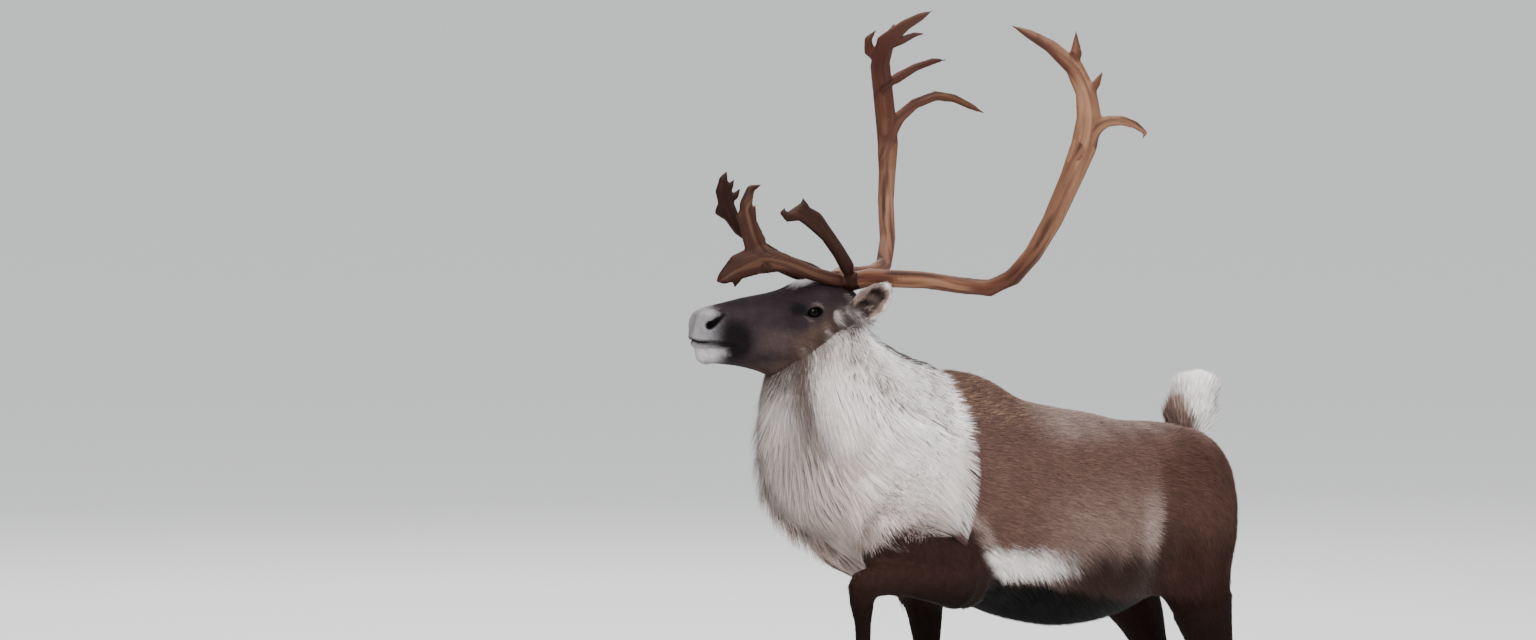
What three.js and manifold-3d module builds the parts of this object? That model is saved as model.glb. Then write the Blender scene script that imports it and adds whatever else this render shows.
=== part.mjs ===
// A life-size bull caribou, walking with its left foreleg raised and its head held high.
// Millimetres, +Z up. The bull faces -X and its left side is -Y. Every piece is worked out
// from the withers: X = 0 there, Y = 0 is its middle plane and Z = 0 is the ground.
import * as THREE from 'three';
import { mergeVertices } from 'three/addons/utils/BufferGeometryUtils.js';
import Module from 'manifold-3d';

const wasm = await Module();
wasm.setup();

// Driving dimensions
const GAP = 0.3; // left between pieces that meet
const POLL = [-309, 20, 1403]; // top of the head, between the antlers
const HEAD_TURN = THREE.MathUtils.degToRad(-16); // the head looks a little to its right
const EYE = { along: -107, aside: 66, up: -66, radius: 17 };
const FETLOCK_HEIGHT = 140; // of a foot that stands
const CORONET_DROP = 78; // from the fetlock down to the top of the hooves
const NECK_FRONT_OF = { through: [-100, 0, 1210], facing: [-0.832, 0, 0.555] };
const SIDES = [
  { name: 'left', out: -1 },
  { name: 'right', out: 1 },
];

// Colours of the coat, antlers and hooves
const FINISH = {
  coat: new THREE.MeshStandardMaterial({ color: '#6f5f55', roughness: 0.95 }),
  mane: new THREE.MeshStandardMaterial({ color: '#d9d2c8', roughness: 0.95 }),
  face: new THREE.MeshStandardMaterial({ color: '#43372f', roughness: 0.9 }),
  leg: new THREE.MeshStandardMaterial({ color: '#2b2320', roughness: 0.95 }),
  antler: new THREE.MeshStandardMaterial({ color: '#7b5039', roughness: 0.6 }),
  hoof: new THREE.MeshStandardMaterial({ color: '#1d1a18', roughness: 0.5 }),
  eye: new THREE.MeshStandardMaterial({ color: '#120c08', roughness: 0.1 }),
};

const model = new THREE.Group();
model.name = 'caribou';

// Solids and the joins and cuts between them

function solidOf(geometry) {
  const plain = geometry.index ? geometry.clone() : geometry;
  plain.deleteAttribute('normal');
  plain.deleteAttribute('uv');
  const merged = mergeVertices(plain, 1e-3);
  const at = merged.attributes.position.array;
  const corners = Array.from(merged.index.array);
  const kept = [];
  let volume = 0;
  const a = new THREE.Vector3();
  const b = new THREE.Vector3();
  const c = new THREE.Vector3();
  for (let i = 0; i < corners.length; i += 3) {
    const [p, q, r] = [corners[i], corners[i + 1], corners[i + 2]];
    if (p === q || q === r || r === p) {
      continue;
    }
    kept.push(p, q, r);
    a.fromArray(at, 3 * p);
    b.fromArray(at, 3 * q);
    c.fromArray(at, 3 * r);
    volume += a.dot(b.cross(c));
  }
  if (volume < 0) {
    kept.reverse();
  }
  return new wasm.Manifold(
    new wasm.Mesh({
      numProp: 3,
      vertProperties: Float32Array.from(at),
      triVerts: Uint32Array.from(kept),
    })
  );
}

function join(...solids) {
  return solids.reduce((whole, piece) => whole.add(piece));
}

function less(solid, ...cutters) {
  return cutters.reduce((left, cutter) => left.subtract(cutter), solid);
}

// What lies on the side of a plane that its normal points to, kept half a gap clear of it.
function sideOf(solid, through, facing) {
  const normal = new THREE.Vector3(...facing).normalize();
  const offset = normal.dot(new THREE.Vector3(...through));
  return solid.trimByPlane(normal.toArray(), offset + GAP / 2);
}

function opposite(facing) {
  return facing.map((part) => -part);
}

function largest(solid) {
  return solid.decompose().reduce((a, b) => (b.volume() > a.volume() ? b : a));
}

function addNode(name, solid, finish) {
  const { vertProperties, triVerts, numProp } = largest(solid).getMesh();
  const places = [];
  for (let i = 0; i < vertProperties.length; i += numProp) {
    places.push(vertProperties[i], vertProperties[i + 1], vertProperties[i + 2]);
  }
  const geometry = new THREE.BufferGeometry();
  geometry.setAttribute('position', new THREE.Float32BufferAttribute(places, 3));
  geometry.setIndex(Array.from(triVerts));
  const mesh = new THREE.Mesh(geometry, finish);
  mesh.name = name;
  model.add(mesh);
}

function ball(centre, radii, turn = [0, 0, 0], around = 12, rings = 7) {
  const geometry = new THREE.SphereGeometry(1, around, rings);
  geometry.scale(...radii);
  geometry.applyMatrix4(new THREE.Matrix4().makeRotationFromEuler(new THREE.Euler(...turn)));
  geometry.translate(...centre);
  return solidOf(geometry);
}

// A closed body through a row of sections. A section has a centre, two half axes, a power
// (2 is an ellipse, more is squarer) and a lean (how much narrower its top is than its foot).
class Body {
  constructor(sections) {
    const vectors = (key) => {
      const points = sections.map((section) => new THREE.Vector3(...section[key]));
      return new THREE.CatmullRomCurve3(points, false, 'catmullrom', 0.5);
    };
    this.count = sections.length - 1;
    this.centre = vectors('centre');
    this.side = vectors('side');
    this.top = vectors('top');
    const shapes = sections.map(({ power = 2, lean = 0 }) => new THREE.Vector2(power, lean));
    this.shape = new THREE.SplineCurve(shapes);
  }

  point(t, angle, grow = 0) {
    const side = this.side.getPoint(t);
    const top = this.top.getPoint(t);
    const { x: power, y: lean } = this.shape.getPoint(t);
    const round = (value) => Math.sign(value) * Math.abs(value) ** (2 / power);
    const across = round(Math.cos(angle));
    const up = round(Math.sin(angle));
    const reach = side.length() * across * (1 - lean * up) + grow * Math.cos(angle);
    const rise = top.length() * up + grow * Math.sin(angle);
    return this.centre
      .getPoint(t)
      .addScaledVector(side.normalize(), reach)
      .addScaledVector(top.normalize(), rise);
  }

  outward(t, angle) {
    const step = 0.01;
    const along = this.point(Math.min(t + step, 1), angle);
    along.sub(this.point(Math.max(t - step, 0), angle));
    const round = this.point(t, angle + step).sub(this.point(t, angle - step));
    const normal = round.cross(along).normalize();
    const away = this.point(t, angle).sub(this.centre.getPoint(t));
    return normal.dot(away) < 0 ? normal.negate() : normal;
  }

  // How far the surface runs for each unit of t
  pace(t, angle) {
    const step = 0.02;
    const near = this.point(Math.max(t - step, 0), angle);
    return near.distanceTo(this.point(Math.min(t + step, 1), angle)) / (2 * step);
  }

  // An inset, where there is one, sets the surface in by its value at each place.
  solid(around, steps = 1, grow = 0, inset = () => 0) {
    const rings = Math.max(2, this.count * steps);
    const geometry = new THREE.SphereGeometry(1, around, rings);
    const at = geometry.attributes.position;
    const perRing = around + 1;
    for (let i = 0; i < at.count; i++) {
      const ring = Math.floor(i / perRing);
      const angle = (2 * Math.PI * (i % perRing)) / around;
      const t = ring / rings;
      const atEnd = ring === 0 || ring === rings;
      const out = grow - inset(t, angle);
      const place = atEnd ? this.end(t, grow) : this.point(t, angle, out);
      at.setXYZ(i, place.x, place.y, place.z);
    }
    return solidOf(geometry);
  }

  end(t, grow) {
    const outwards = this.centre.getTangent(t).multiplyScalar(t < 0.5 ? -grow : grow);
    return this.centre.getPoint(t).add(outwards);
  }
}

// Rows of upright slices: along, top, bottom, half width, lean
function slices(rows, power = 2) {
  return new Body(
    rows.map(([along, top, bottom, wide, lean = 0]) => ({
      centre: [along, 0, (top + bottom) / 2],
      side: [0, wide, 0],
      top: [0, 0, (top - bottom) / 2],
      lean,
      power,
    }))
  );
}

// Rows of slices between two outlines: upper x, upper z, lower x, lower z, half width, y, lean
function spans(rows, power = 2) {
  return new Body(
    rows.map(([upX, upZ, lowX, lowZ, wide, y = 0, lean = 0]) => ({
      centre: [(upX + lowX) / 2, y, (upZ + lowZ) / 2],
      side: [0, wide, 0],
      top: [(upX - lowX) / 2, 0, (upZ - lowZ) / 2],
      lean,
      power,
    }))
  );
}

// A limb along a line of joints: x, y, z, half width, half depth. The width lies along the
// axis given, as far as the line allows.
function limb(rows, axis = [0, 1, 0], power = 2) {
  const centres = rows.map(([x, y, z]) => new THREE.Vector3(x, y, z));
  const last = centres.length - 1;
  return new Body(
    rows.map(([x, y, z, wide, deep = wide], i) => {
      const along = centres[Math.min(i + 1, last)].clone().sub(centres[Math.max(i - 1, 0)]);
      along.normalize();
      const side = new THREE.Vector3(...axis);
      side.addScaledVector(along, -side.dot(along)).normalize();
      const top = along.clone().cross(side);
      return {
        centre: [x, y, z],
        side: side.multiplyScalar(wide).toArray(),
        top: top.multiplyScalar(deep).toArray(),
        power,
      };
    })
  );
}

// Legs. Rows: x, y, z, half width, half depth. The block is the part of the whole body that is
// the top of a leg: from x to x, outwards from y, from z to z. A lifted foot is pitched about
// its fetlock.

const LEGS = [
  {
    name: 'foreleg_left', parts: ['upper', 'forearm', 'cannon'], pitch: -34,
    block: { x: [-430, -40], y: 112, z: [600, 880] },
    top: [[-345, -118, 930, 40, 60], [-330, -134, 900, 70, 84], [-270, -142, 852, 72, 84],
      [-200, -148, 802, 64, 78], [-132, -154, 752, 52, 68], [-80, -156, 712, 38, 52],
      [-50, -158, 688, 12, 16]],
    middle: [[-92, -164, 705, 26, 30], [-124, -166, 722, 50, 56], [-168, -167, 742, 54, 62],
      [-222, -165, 750, 48, 55], [-285, -162, 752, 39, 43], [-335, -160, 751, 34, 36],
      [-378, -160, 750, 34, 37], [-418, -160, 744, 32, 34], [-442, -160, 736, 14, 18]],
    low: [[-404, -160, 775, 20, 22], [-410, -160, 745, 33, 36], [-411, -160, 705, 28, 31],
      [-408, -160, 660, 20, 22], [-407, -160, 600, 17, 19], [-406, -160, 545, 18, 19],
      [-404, -160, 508, 23, 25], [-402, -160, 480, 27, 30], [-396, -160, 458, 26, 27]],
    fetlock: [-402, -160, 480],
    knee: { through: [-380, -160, 740], facing: [-0.7, 0, -0.7] },
  },
  {
    name: 'foreleg_right', parts: ['upper', 'forearm', 'cannon'], pitch: 0,
    block: { x: [-340, 90], y: 112, z: [712, 900] },
    top: [[-300, 110, 940, 40, 60], [-262, 134, 885, 74, 92], [-190, 142, 830, 76, 96],
      [-100, 138, 775, 66, 84], [-30, 127, 728, 50, 66], [6, 118, 690, 38, 52],
      [14, 114, 660, 12, 16]],
    middle: [[2, 122, 790, 30, 40], [2, 118, 740, 50, 64], [0, 110, 690, 46, 60],
      [0, 101, 640, 35, 48], [-2, 92, 575, 27, 36], [-8, 82, 510, 25, 31], [-16, 73, 450, 28, 29],
      [-22, 66, 400, 30, 33], [-26, 60, 360, 24, 26], [-28, 56, 330, 12, 14]],
    low: [[-18, 70, 425, 20, 22], [-22, 66, 398, 30, 33], [-26, 60, 355, 25, 27],
      [-32, 53, 310, 19, 20], [-40, 43, 250, 17, 19], [-48, 34, 195, 19, 20],
      [-53, 27, 160, 25, 26], [-56, 24, 138, 27, 30], [-64, 23, 118, 25, 26]],
    fetlock: [-56, 24, FETLOCK_HEIGHT],
    knee: { through: [-22, 66, 398], facing: [0, 0, -1] },
  },
  {
    name: 'hindleg_left', parts: ['thigh', 'gaskin', 'cannon'], pitch: 0,
    block: { x: [450, 900], y: 45, z: [676, 900] },
    top: [[590, -90, 1000, 40, 60], [592, -108, 950, 80, 132], [596, -124, 870, 88, 146],
      [598, -132, 790, 80, 138], [602, -134, 720, 68, 122], [628, -132, 660, 56, 94],
      [645, -128, 620, 30, 60]],
    middle: [[615, -132, 710, 40, 90], [630, -130, 660, 55, 94], [654, -124, 600, 49, 76],
      [678, -118, 545, 42, 60], [708, -112, 495, 34, 50], [734, -108, 455, 31, 44],
      [750, -106, 420, 27, 35], [756, -105, 390, 12, 16]],
    low: [[738, -107, 450, 20, 26], [748, -106, 420, 29, 38], [760, -104, 370, 23, 28],
      [770, -103, 310, 19, 22], [782, -102, 250, 18, 21], [794, -101, 195, 20, 22],
      [802, -100, 160, 26, 27], [806, -100, 138, 28, 31], [798, -100, 118, 26, 27]],
    fetlock: [806, -100, FETLOCK_HEIGHT],
    hock: [752, -108, 462],
    knee: { through: [745, -106, 425], facing: [0.1, 0, -1] },
  },
  {
    name: 'hindleg_right', parts: ['thigh', 'gaskin', 'cannon'], pitch: 0,
    block: { x: [450, 900], y: 45, z: [676, 900] },
    top: [[560, 90, 1000, 40, 60], [565, 108, 950, 80, 132], [570, 122, 870, 88, 146],
      [576, 126, 790, 80, 134], [592, 124, 720, 66, 114], [624, 118, 660, 54, 86],
      [645, 114, 620, 30, 54]],
    middle: [[605, 122, 710, 40, 86], [628, 117, 660, 53, 86], [662, 107, 600, 47, 66],
      [682, 100, 545, 40, 48], [694, 94, 495, 33, 44], [700, 89, 450, 31, 42],
      [694, 86, 415, 28, 34], [688, 85, 385, 12, 16]],
    low: [[700, 89, 445, 20, 26], [692, 86, 412, 29, 36], [676, 84, 360, 23, 27],
      [658, 82, 300, 19, 22], [640, 81, 245, 18, 20], [622, 80, 195, 20, 22],
      [612, 80, 160, 26, 27], [606, 80, 138, 28, 31], [594, 80, 118, 26, 27]],
    fetlock: [606, 80, FETLOCK_HEIGHT],
    hock: [716, 89, 452],
    knee: { through: [693, 86, 415], facing: [-0.15, 0, -1] },
  },
];

// Trunk, neck and the muscle masses of shoulder and haunch

const TRUNK = slices([
  [-455, 985, 900, 40, 0],
  [-420, 1050, 858, 112, 0],
  [-350, 1120, 797, 164, 0.05],
  [-260, 1165, 738, 196, 0.12],
  [-150, 1192, 694, 212, 0.2],
  [-40, 1203, 670, 218, 0.27],
  [60, 1186, 654, 226, 0.25],
  [160, 1136, 624, 236, 0.17],
  [270, 1110, 603, 240, 0.12],
  [380, 1092, 606, 230, 0.08],
  [480, 1070, 630, 214, 0.04],
  [580, 1062, 668, 200, 0],
  [670, 1050, 720, 176, 0],
  [735, 1022, 780, 136, 0],
  [778, 970, 850, 80, 0],
  [795, 905, 895, 20, 0],
]);

const NECK = spans([
  [-40, 1150, -150, 760, 110, 0],
  [-90, 1205, -300, 790, 170, 0],
  [-145, 1224, -415, 838, 165, 2],
  [-195, 1246, -495, 900, 152, 6],
  [-238, 1272, -522, 980, 138, 10],
  [-270, 1300, -528, 1060, 122, 16],
  [-290, 1330, -520, 1130, 106, 22],
  [-302, 1352, -495, 1190, 92, 28],
  [-345, 1335, -455, 1235, 60, 32],
]);

// Depth of the long hair: none at the nape, most down the throat and the front of the chest
const MANE = { side: 12, front: 30 };

function maneDepth(t, angle) {
  const under = -Math.sin(angle);
  const round = THREE.MathUtils.smoothstep(under, -0.75, -0.1) * MANE.side;
  const front = THREE.MathUtils.smoothstep(under, 0, 0.9) * (MANE.front - MANE.side);
  const along = THREE.MathUtils.smoothstep(t, 0.02, 0.22);
  return (round + front) * along * (1 - 0.5 * THREE.MathUtils.smoothstep(t, 0.8, 1));
}

const MUSCLES = [
  { centre: [-255, -122, 915], radii: [128, 98, 185], turn: [0, 0.35, 0] },
  { centre: [-200, 116, 920], radii: [128, 96, 180], turn: [0, 0.2, 0] },
  { centre: [590, -116, 885], radii: [148, 92, 170], turn: [0, -0.12, 0] },
  { centre: [570, 114, 885], radii: [150, 92, 170], turn: [0, 0.1, 0] },
];

// Trunk, neck, shoulders and haunches with the tops of the legs, before they are parted
function wholeBody(grow = 0) {
  const masses = MUSCLES.map(({ centre, radii, turn }) =>
    ball(centre, radii.map((radius) => radius + grow), turn, 14, 9)
  );
  const tops = LEGS.map(({ top }) => limb(top).solid(12, 1, grow));
  const neck = NECK.solid(24, 1, grow, maneDepth);
  return join(TRUNK.solid(22, 1, grow), neck, ...masses, ...tops);
}

// Locks of long hair. The draws are seeded, so that they fall alike each time.

let seed = 7;

function draw(from, to) {
  seed = (seed * 48271) % 2147483647;
  return from + ((to - from) * seed) / 2147483647;
}

// A flat, tapered lock along five points, the first well under the surface and the last its
// tip, with its flat side towards outward
const LOCK_RUN = [0, 0.22, 0.52, 0.8, 1];
const LOCK_WIDTH = [0.35, 0.9, 1, 0.66, 0.06];
const LOCK_BODY = [0.8, 1, 1, 0.8, 0.2];

function lock(path, outward, wide, thick) {
  return new Body(
    path.map((place, i) => {
      const along = path[Math.min(i + 1, 4)].clone().sub(path[Math.max(i - 1, 0)]).normalize();
      const side = along.clone().cross(outward).normalize();
      const top = side.clone().cross(along);
      return {
        centre: place.toArray(),
        side: side.multiplyScalar(wide * LOCK_WIDTH[i]).toArray(),
        top: top.multiplyScalar(thick * LOCK_BODY[i]).toArray(),
      };
    })
  ).solid(4);
}

// A lock of the mane is rooted under the neck's inset surface, runs down along the neck by its
// length, drifts round towards the throat and ends just over the plain surface.
function maneLock({ t, angle, length, wide, thick, drift, lift }) {
  const depth = maneDepth(t, angle);
  const heights = [-depth - 16, -depth * 0.72, -depth * 0.32, lift * 0.1 - 1, lift];
  const pace = NECK.pace(t, angle);
  const path = LOCK_RUN.map((run, i) => {
    const along = Math.max(t - (length * run) / pace, 0.01);
    return NECK.point(along, angle + drift * run, heights[i]);
  });
  return lock(path, NECK.outward(t, angle), wide, thick);
}

// Whether a lock's outer half stays on the neck's side of where the neck and legs are parted
function clearOfOthers(plan) {
  const normal = new THREE.Vector3(...NECK_FRONT_OF.facing).normalize();
  const through = new THREE.Vector3(...NECK_FRONT_OF.through);
  const pace = NECK.pace(plan.t, plan.angle);
  return [0, 0.5, 1].every((run) => {
    const along = Math.max(plan.t - (plan.length * run) / pace, 0.01);
    const place = NECK.point(along, plan.angle + plan.drift * run, plan.lift);
    const inBlock = LEGS.some(({ name, block }) => {
      const out = name.endsWith('left') ? -1 : 1;
      const { x, y, z } = block;
      return (
        out * place.y > y - 26 && place.x > x[0] - 24 && place.x < x[1] + 24 &&
        place.z > z[0] - 20 && place.z < z[1] + 20
      );
    });
    return !inBlock && normal.dot(place.sub(through)) > 26;
  });
}

// Tiers of locks down the neck, set a lock's width apart round the throat and the sides
function maneLocks() {
  const locks = [];
  const { tiers, gap } = { tiers: 7, gap: 88 };
  for (let tier = 0; tier < tiers; tier++) {
    const level = 0.94 - (0.66 * tier) / (tiers - 1);
    const first = Math.PI * (tier % 2 ? 0.9 : 0.94);
    let angle = first;
    while (angle < 3 * Math.PI - first) {
      const t = level + draw(-0.02, 0.02);
      const turn = angle + draw(-0.03, 0.03);
      const under = -Math.sin(turn);
      const length = draw(135, 175) * (0.85 + 0.25 * Math.max(under, 0));
      const drift = -0.28 * Math.sign(Math.cos(turn)) * (1 - Math.max(under, 0));
      const lift = draw(3, 7) + 7 * Math.max(under, 0) * draw(0.3, 1);
      locks.push({ t, angle: turn, length, wide: draw(38, 46), thick: draw(6, 8), drift, lift });
      const arc = NECK.point(level, angle + 0.01).distanceTo(NECK.point(level, angle)) / 0.01;
      angle += gap / arc;
    }
  }
  return locks.filter(clearOfOthers).map(maneLock);
}

// Head, in a frame of its own: the poll is its origin, -X runs to the nose, -Y is its left.

const HEAD_PLACE = new THREE.Matrix4()
  .makeTranslation(...POLL)
  .multiply(new THREE.Matrix4().makeRotationZ(HEAD_TURN));

function placed(solid, matrix) {
  return solid.transform(matrix.toArray());
}

const SKULL = spans(
  [
    [-366, -96, -366, -118, 16, 0, 0],
    [-361, -70, -357, -142, 36, 0, 0],
    [-350, -56, -345, -164, 47, 0, 0],
    [-318, -48, -315, -178, 52, 0, 0.05],
    [-268, -40, -268, -184, 52, 0, 0],
    [-212, -30, -216, -196, 58, 0, -0.08],
    [-160, -18, -168, -214, 70, 0, -0.2],
    [-112, -4, -124, -226, 80, 0, -0.26],
    [-62, 3, -84, -226, 82, 0, -0.24],
    [-15, -2, -48, -214, 76, 0, -0.2],
    [24, -30, -14, -188, 62, 0, -0.1],
    [46, -80, 30, -130, 26, 0, 0],
  ],
  2.25
);

// The brow over each eye, the cheeks, the flare of the nostrils and the lips
function headForm(grow = 0) {
  const wider = (radii) => radii.map((radius) => radius + grow);
  const pieces = [SKULL.solid(20, 2, grow)];
  for (const { out } of SIDES) {
    const { along, aside, up } = EYE;
    pieces.push(ball([along + 4, out * (aside - 6), up + 17], wider([34, 18, 14]), [0, 0.1, 0]));
    pieces.push(ball([along - 4, out * (aside - 8), up - 20], wider([30, 14, 10]), [0, 0.2, 0]));
    pieces.push(ball([-88, out * 38, -152], wider([66, 38, 62]), [0, 0.5, 0]));
    pieces.push(ball([-330, out * 32, -80], wider([28, 20, 24]), [0, 0.2, 0]));
  }
  pieces.push(ball([-347, 0, -112], wider([22, 44, 20])));
  pieces.push(ball([-333, 0, -156], wider([26, 38, 20])));
  return join(...pieces);
}

// A lid arches from one corner of the eye to the other, above it or below it.
function lid(out, rise) {
  const rows = [];
  const steps = 6;
  for (let step = 0; step <= steps; step++) {
    const turn = (Math.PI * step) / steps;
    const bulge = Math.sin(turn);
    const x = EYE.along - 22 * Math.cos(turn);
    const z = EYE.up + rise * 12 * bulge - 3 * Math.cos(turn);
    rows.push([x, out * (EYE.aside + 7 + 8 * bulge), z, 3 + 3.5 * bulge, 3 + 2.5 * bulge]);
  }
  return limb(rows).solid(6);
}

function eyeBall(out, grow = 0) {
  const radius = EYE.radius + grow;
  return ball([EYE.along, out * EYE.aside, EYE.up], [radius, radius, radius], [0, 0, 0], 12, 7);
}

function nostrilCut(out) {
  const rows = [
    [-352, out * 24, -92, 3, 4],
    [-343, out * 42, -86, 8, 8],
    [-326, out * 49, -76, 6, 7],
    [-306, out * 54, -67, 3, 3],
    [-296, out * 56, -63, 1, 1],
  ];
  return limb(rows, [0, 0, 1]).solid(8);
}

// The line between the lips, from one corner of the mouth round the front to the other
function mouthCut() {
  const rows = [
    [-268, -62, -140, 3, 1.5],
    [-300, -54, -134, 7, 2.5],
    [-340, -42, -128, 8, 3],
    [-364, -24, -128, 8, 3],
    [-378, 0, -127, 8, 3],
    [-364, 24, -128, 8, 3],
    [-340, 42, -128, 8, 3],
    [-300, 54, -134, 7, 2.5],
    [-268, 62, -140, 3, 1.5],
  ];
  return limb(rows, [0, 0, 1]).solid(6);
}

const headLocal = less(
  join(headForm(), ...SIDES.flatMap(({ out }) => [lid(out, 1), lid(out, -1)])),
  mouthCut(),
  ...SIDES.flatMap(({ out }) => [nostrilCut(out), eyeBall(out, GAP)])
);
const head = placed(headLocal, HEAD_PLACE);
const headSpace = placed(headForm(GAP), HEAD_PLACE);

// Ears: a leaf with a cup hollowed in the side that it opens to

const EAR = [
  [0, 0, -16, 12, 10],
  [0, 0, 2, 24, 18],
  [3, 0, 30, 35, 20],
  [4, 0, 62, 37, 16],
  [3, 0, 92, 28, 11],
  [1, 0, 112, 14, 6],
  [0, 0, 122, 2, 2],
];
const EAR_HOLLOW = [
  [0, -13, 8, 9, 6],
  [3, -15, 30, 25, 14],
  [4, -15, 62, 28, 13],
  [3, -12, 90, 20, 9],
  [1, -9, 108, 6, 5],
];

// An ear runs along its own Z and opens to its own -Y.
function ear(out) {
  const root = new THREE.Vector3(-8, out * 70, -78);
  const along = new THREE.Vector3(48, out * 72, 72).normalize();
  const opens = new THREE.Vector3(-0.45, out * 0.89, -0.1);
  opens.addScaledVector(along, -opens.dot(along)).normalize();
  const back = opens.clone().negate();
  const wide = back.clone().cross(along);
  const place = new THREE.Matrix4().makeBasis(wide, back, along).setPosition(root);
  const leaf = less(limb(EAR, [1, 0, 0]).solid(12, 1), limb(EAR_HOLLOW, [1, 0, 0]).solid(10, 1));
  return placed(placed(leaf, place), HEAD_PLACE);
}

// Antlers, in the head's frame. A stem is rows of: back, out from the middle, up, half width
// in the plane of the palm, half thickness across it.

const ANTLERS = {
  left: {
    beam: [
      [-12, 38, -30, 20, 20],
      [-7, 50, -2, 21, 21],
      [24, 82, 8, 20, 20],
      [110, 190, 6, 18, 18],
      [167, 250, -4, 18, 19],
      [211, 305, -8, 19, 20],
      [244, 354, 18, 19, 20],
      [272, 395, 69, 19, 20],
      [296, 440, 142, 22, 20],
      [322, 480, 235, 26, 19],
      [346, 495, 306, 31, 17],
      [358, 495, 366, 30, 15],
      [358, 480, 420, 25, 13],
      [345, 450, 474, 21, 12],
      [306, 410, 521, 15, 10],
      [271, 375, 547, 10, 8],
      [238, 338, 569, 2, 2],
    ],
    forks: [4, 9],
    rear: [[330, 492, 285, 16, 13], [356, 496, 326, 20, 13], [380, 499, 350, 15, 11], [401, 500, 359, 12, 10],
      [433, 505, 360, 10, 9], [466, 505, 350, 8, 7], [492, 502, 332, 5, 5], [484, 495, 315, 2, 2]],
    points: [
      [[356, 480, 400, 14, 8], [378, 486, 438, 10, 7], [393, 500, 474, 2, 2]],
      [[342, 452, 452, 18, 11], [350, 447, 505, 14, 9], [353, 440, 562, 3, 3]],
      [[302, 408, 520, 8, 6], [291, 400, 536, 6, 5], [282, 394, 552, 2, 2]],
    ],
    brow: [
      [[-5, 50, -8, 15, 14], [-40, 50, 2, 16, 14], [-100, 45, 19, 15, 13], [-163, 35, 43, 21, 12],
        [-215, 24, 52, 34, 11], [-262, 12, 34, 30, 10], [-296, 4, 8, 14, 8], [-310, 1, 1, 3, 3]],
      [[-200, 26, 40, 18, 8], [-222, 20, 82, 28, 9], [-238, 15, 130, 22, 9], [-243, 13, 172, 15, 9],
        [-230, 11, 206, 10, 7], [-198, 10, 216, 2, 2]],
      [[-232, 16, 100, 14, 8], [-226, 14, 140, 8, 7], [-217, 12, 180, 2, 2]],
      [[-256, 15, 120, 10, 7], [-262, 15, 146, 5, 5], [-260, 15, 160, 2, 2]],
      [[-248, 12, 34, 16, 8], [-262, 6, 6, 10, 7], [-268, 2, -16, 2, 2]],
    ],
    bez: [
      [[-8, 58, -6, 15, 14], [-23, 68, 32, 16, 14], [-51, 85, 66, 15, 13], [-89, 105, 105, 16, 12],
        [-125, 120, 137, 22, 11], [-165, 130, 158, 20, 10], [-198, 135, 147, 11, 8],
        [-210, 135, 158, 7, 6], [-203, 135, 170, 2, 2]],
      [[-138, 122, 146, 16, 9], [-153, 127, 170, 10, 8], [-160, 130, 192, 2, 2]],
    ],
  },
  right: {
    beam: [
      [-6, 38, -28, 20, 20],
      [2, 50, 2, 20, 20],
      [30, 82, 8, 19, 19],
      [110, 165, 4, 17, 17],
      [172, 225, 4, 17, 18],
      [228, 285, 16, 17, 18],
      [268, 350, 72, 17, 18],
      [298, 425, 157, 18, 17],
      [320, 465, 222, 20, 16],
      [331, 485, 285, 25, 15],
      [325, 485, 345, 25, 14],
      [310, 468, 409, 25, 13],
      [286, 430, 466, 25, 12],
      [280, 385, 520, 22, 11],
      [310, 345, 556, 13, 9],
      [336, 320, 575, 9, 7],
      [364, 300, 592, 2, 2],
    ],
    forks: [4, 8],
    rear: [[316, 478, 262, 14, 11], [338, 486, 310, 17, 11], [362, 488, 344, 14, 10], [399, 485, 374, 12, 9],
      [447, 475, 392, 11, 9], [488, 465, 386, 9, 8], [529, 455, 366, 7, 6], [564, 445, 347, 2, 2]],
    points: [
      [[300, 456, 408, 16, 9], [338, 456, 432, 12, 8], [383, 450, 457, 9, 7], [421, 435, 472, 7, 6],
        [461, 420, 476, 2, 2]],
      [[284, 395, 496, 16, 8], [312, 375, 520, 10, 7], [343, 365, 534, 6, 5], [370, 350, 536, 2, 2]],
      [[274, 425, 470, 18, 9], [252, 415, 496, 13, 8], [243, 402, 524, 9, 7], [264, 390, 551, 2, 2]],
      [[290, 380, 535, 10, 7], [292, 365, 562, 2, 2]],
    ],
    brow: [
      [[-4, 48, -6, 14, 13], [-50, 46, 6, 13, 12], [-100, 40, 14, 12, 11], [-150, 33, 32, 10, 9],
        [-196, 28, 60, 2, 2]],
    ],
    bez: [
      [[8, 56, 4, 14, 14], [-44, 84, 22, 13, 12], [-103, 102, 44, 12, 11], [-155, 110, 76, 12, 10],
        [-205, 111, 112, 14, 9], [-234, 108, 157, 20, 8], [-246, 105, 199, 19, 8],
        [-246, 102, 226, 9, 6], [-236, 100, 244, 2, 2]],
      [[-238, 107, 178, 14, 7], [-230, 103, 206, 8, 6], [-218, 100, 228, 2, 2]],
      [[-232, 108, 164, 14, 7], [-216, 104, 186, 8, 6], [-204, 100, 206, 2, 2]],
      [[-232, 110, 128, 12, 7], [-255, 114, 150, 8, 6], [-256, 116, 172, 2, 2]],
    ],
  },
};

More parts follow.
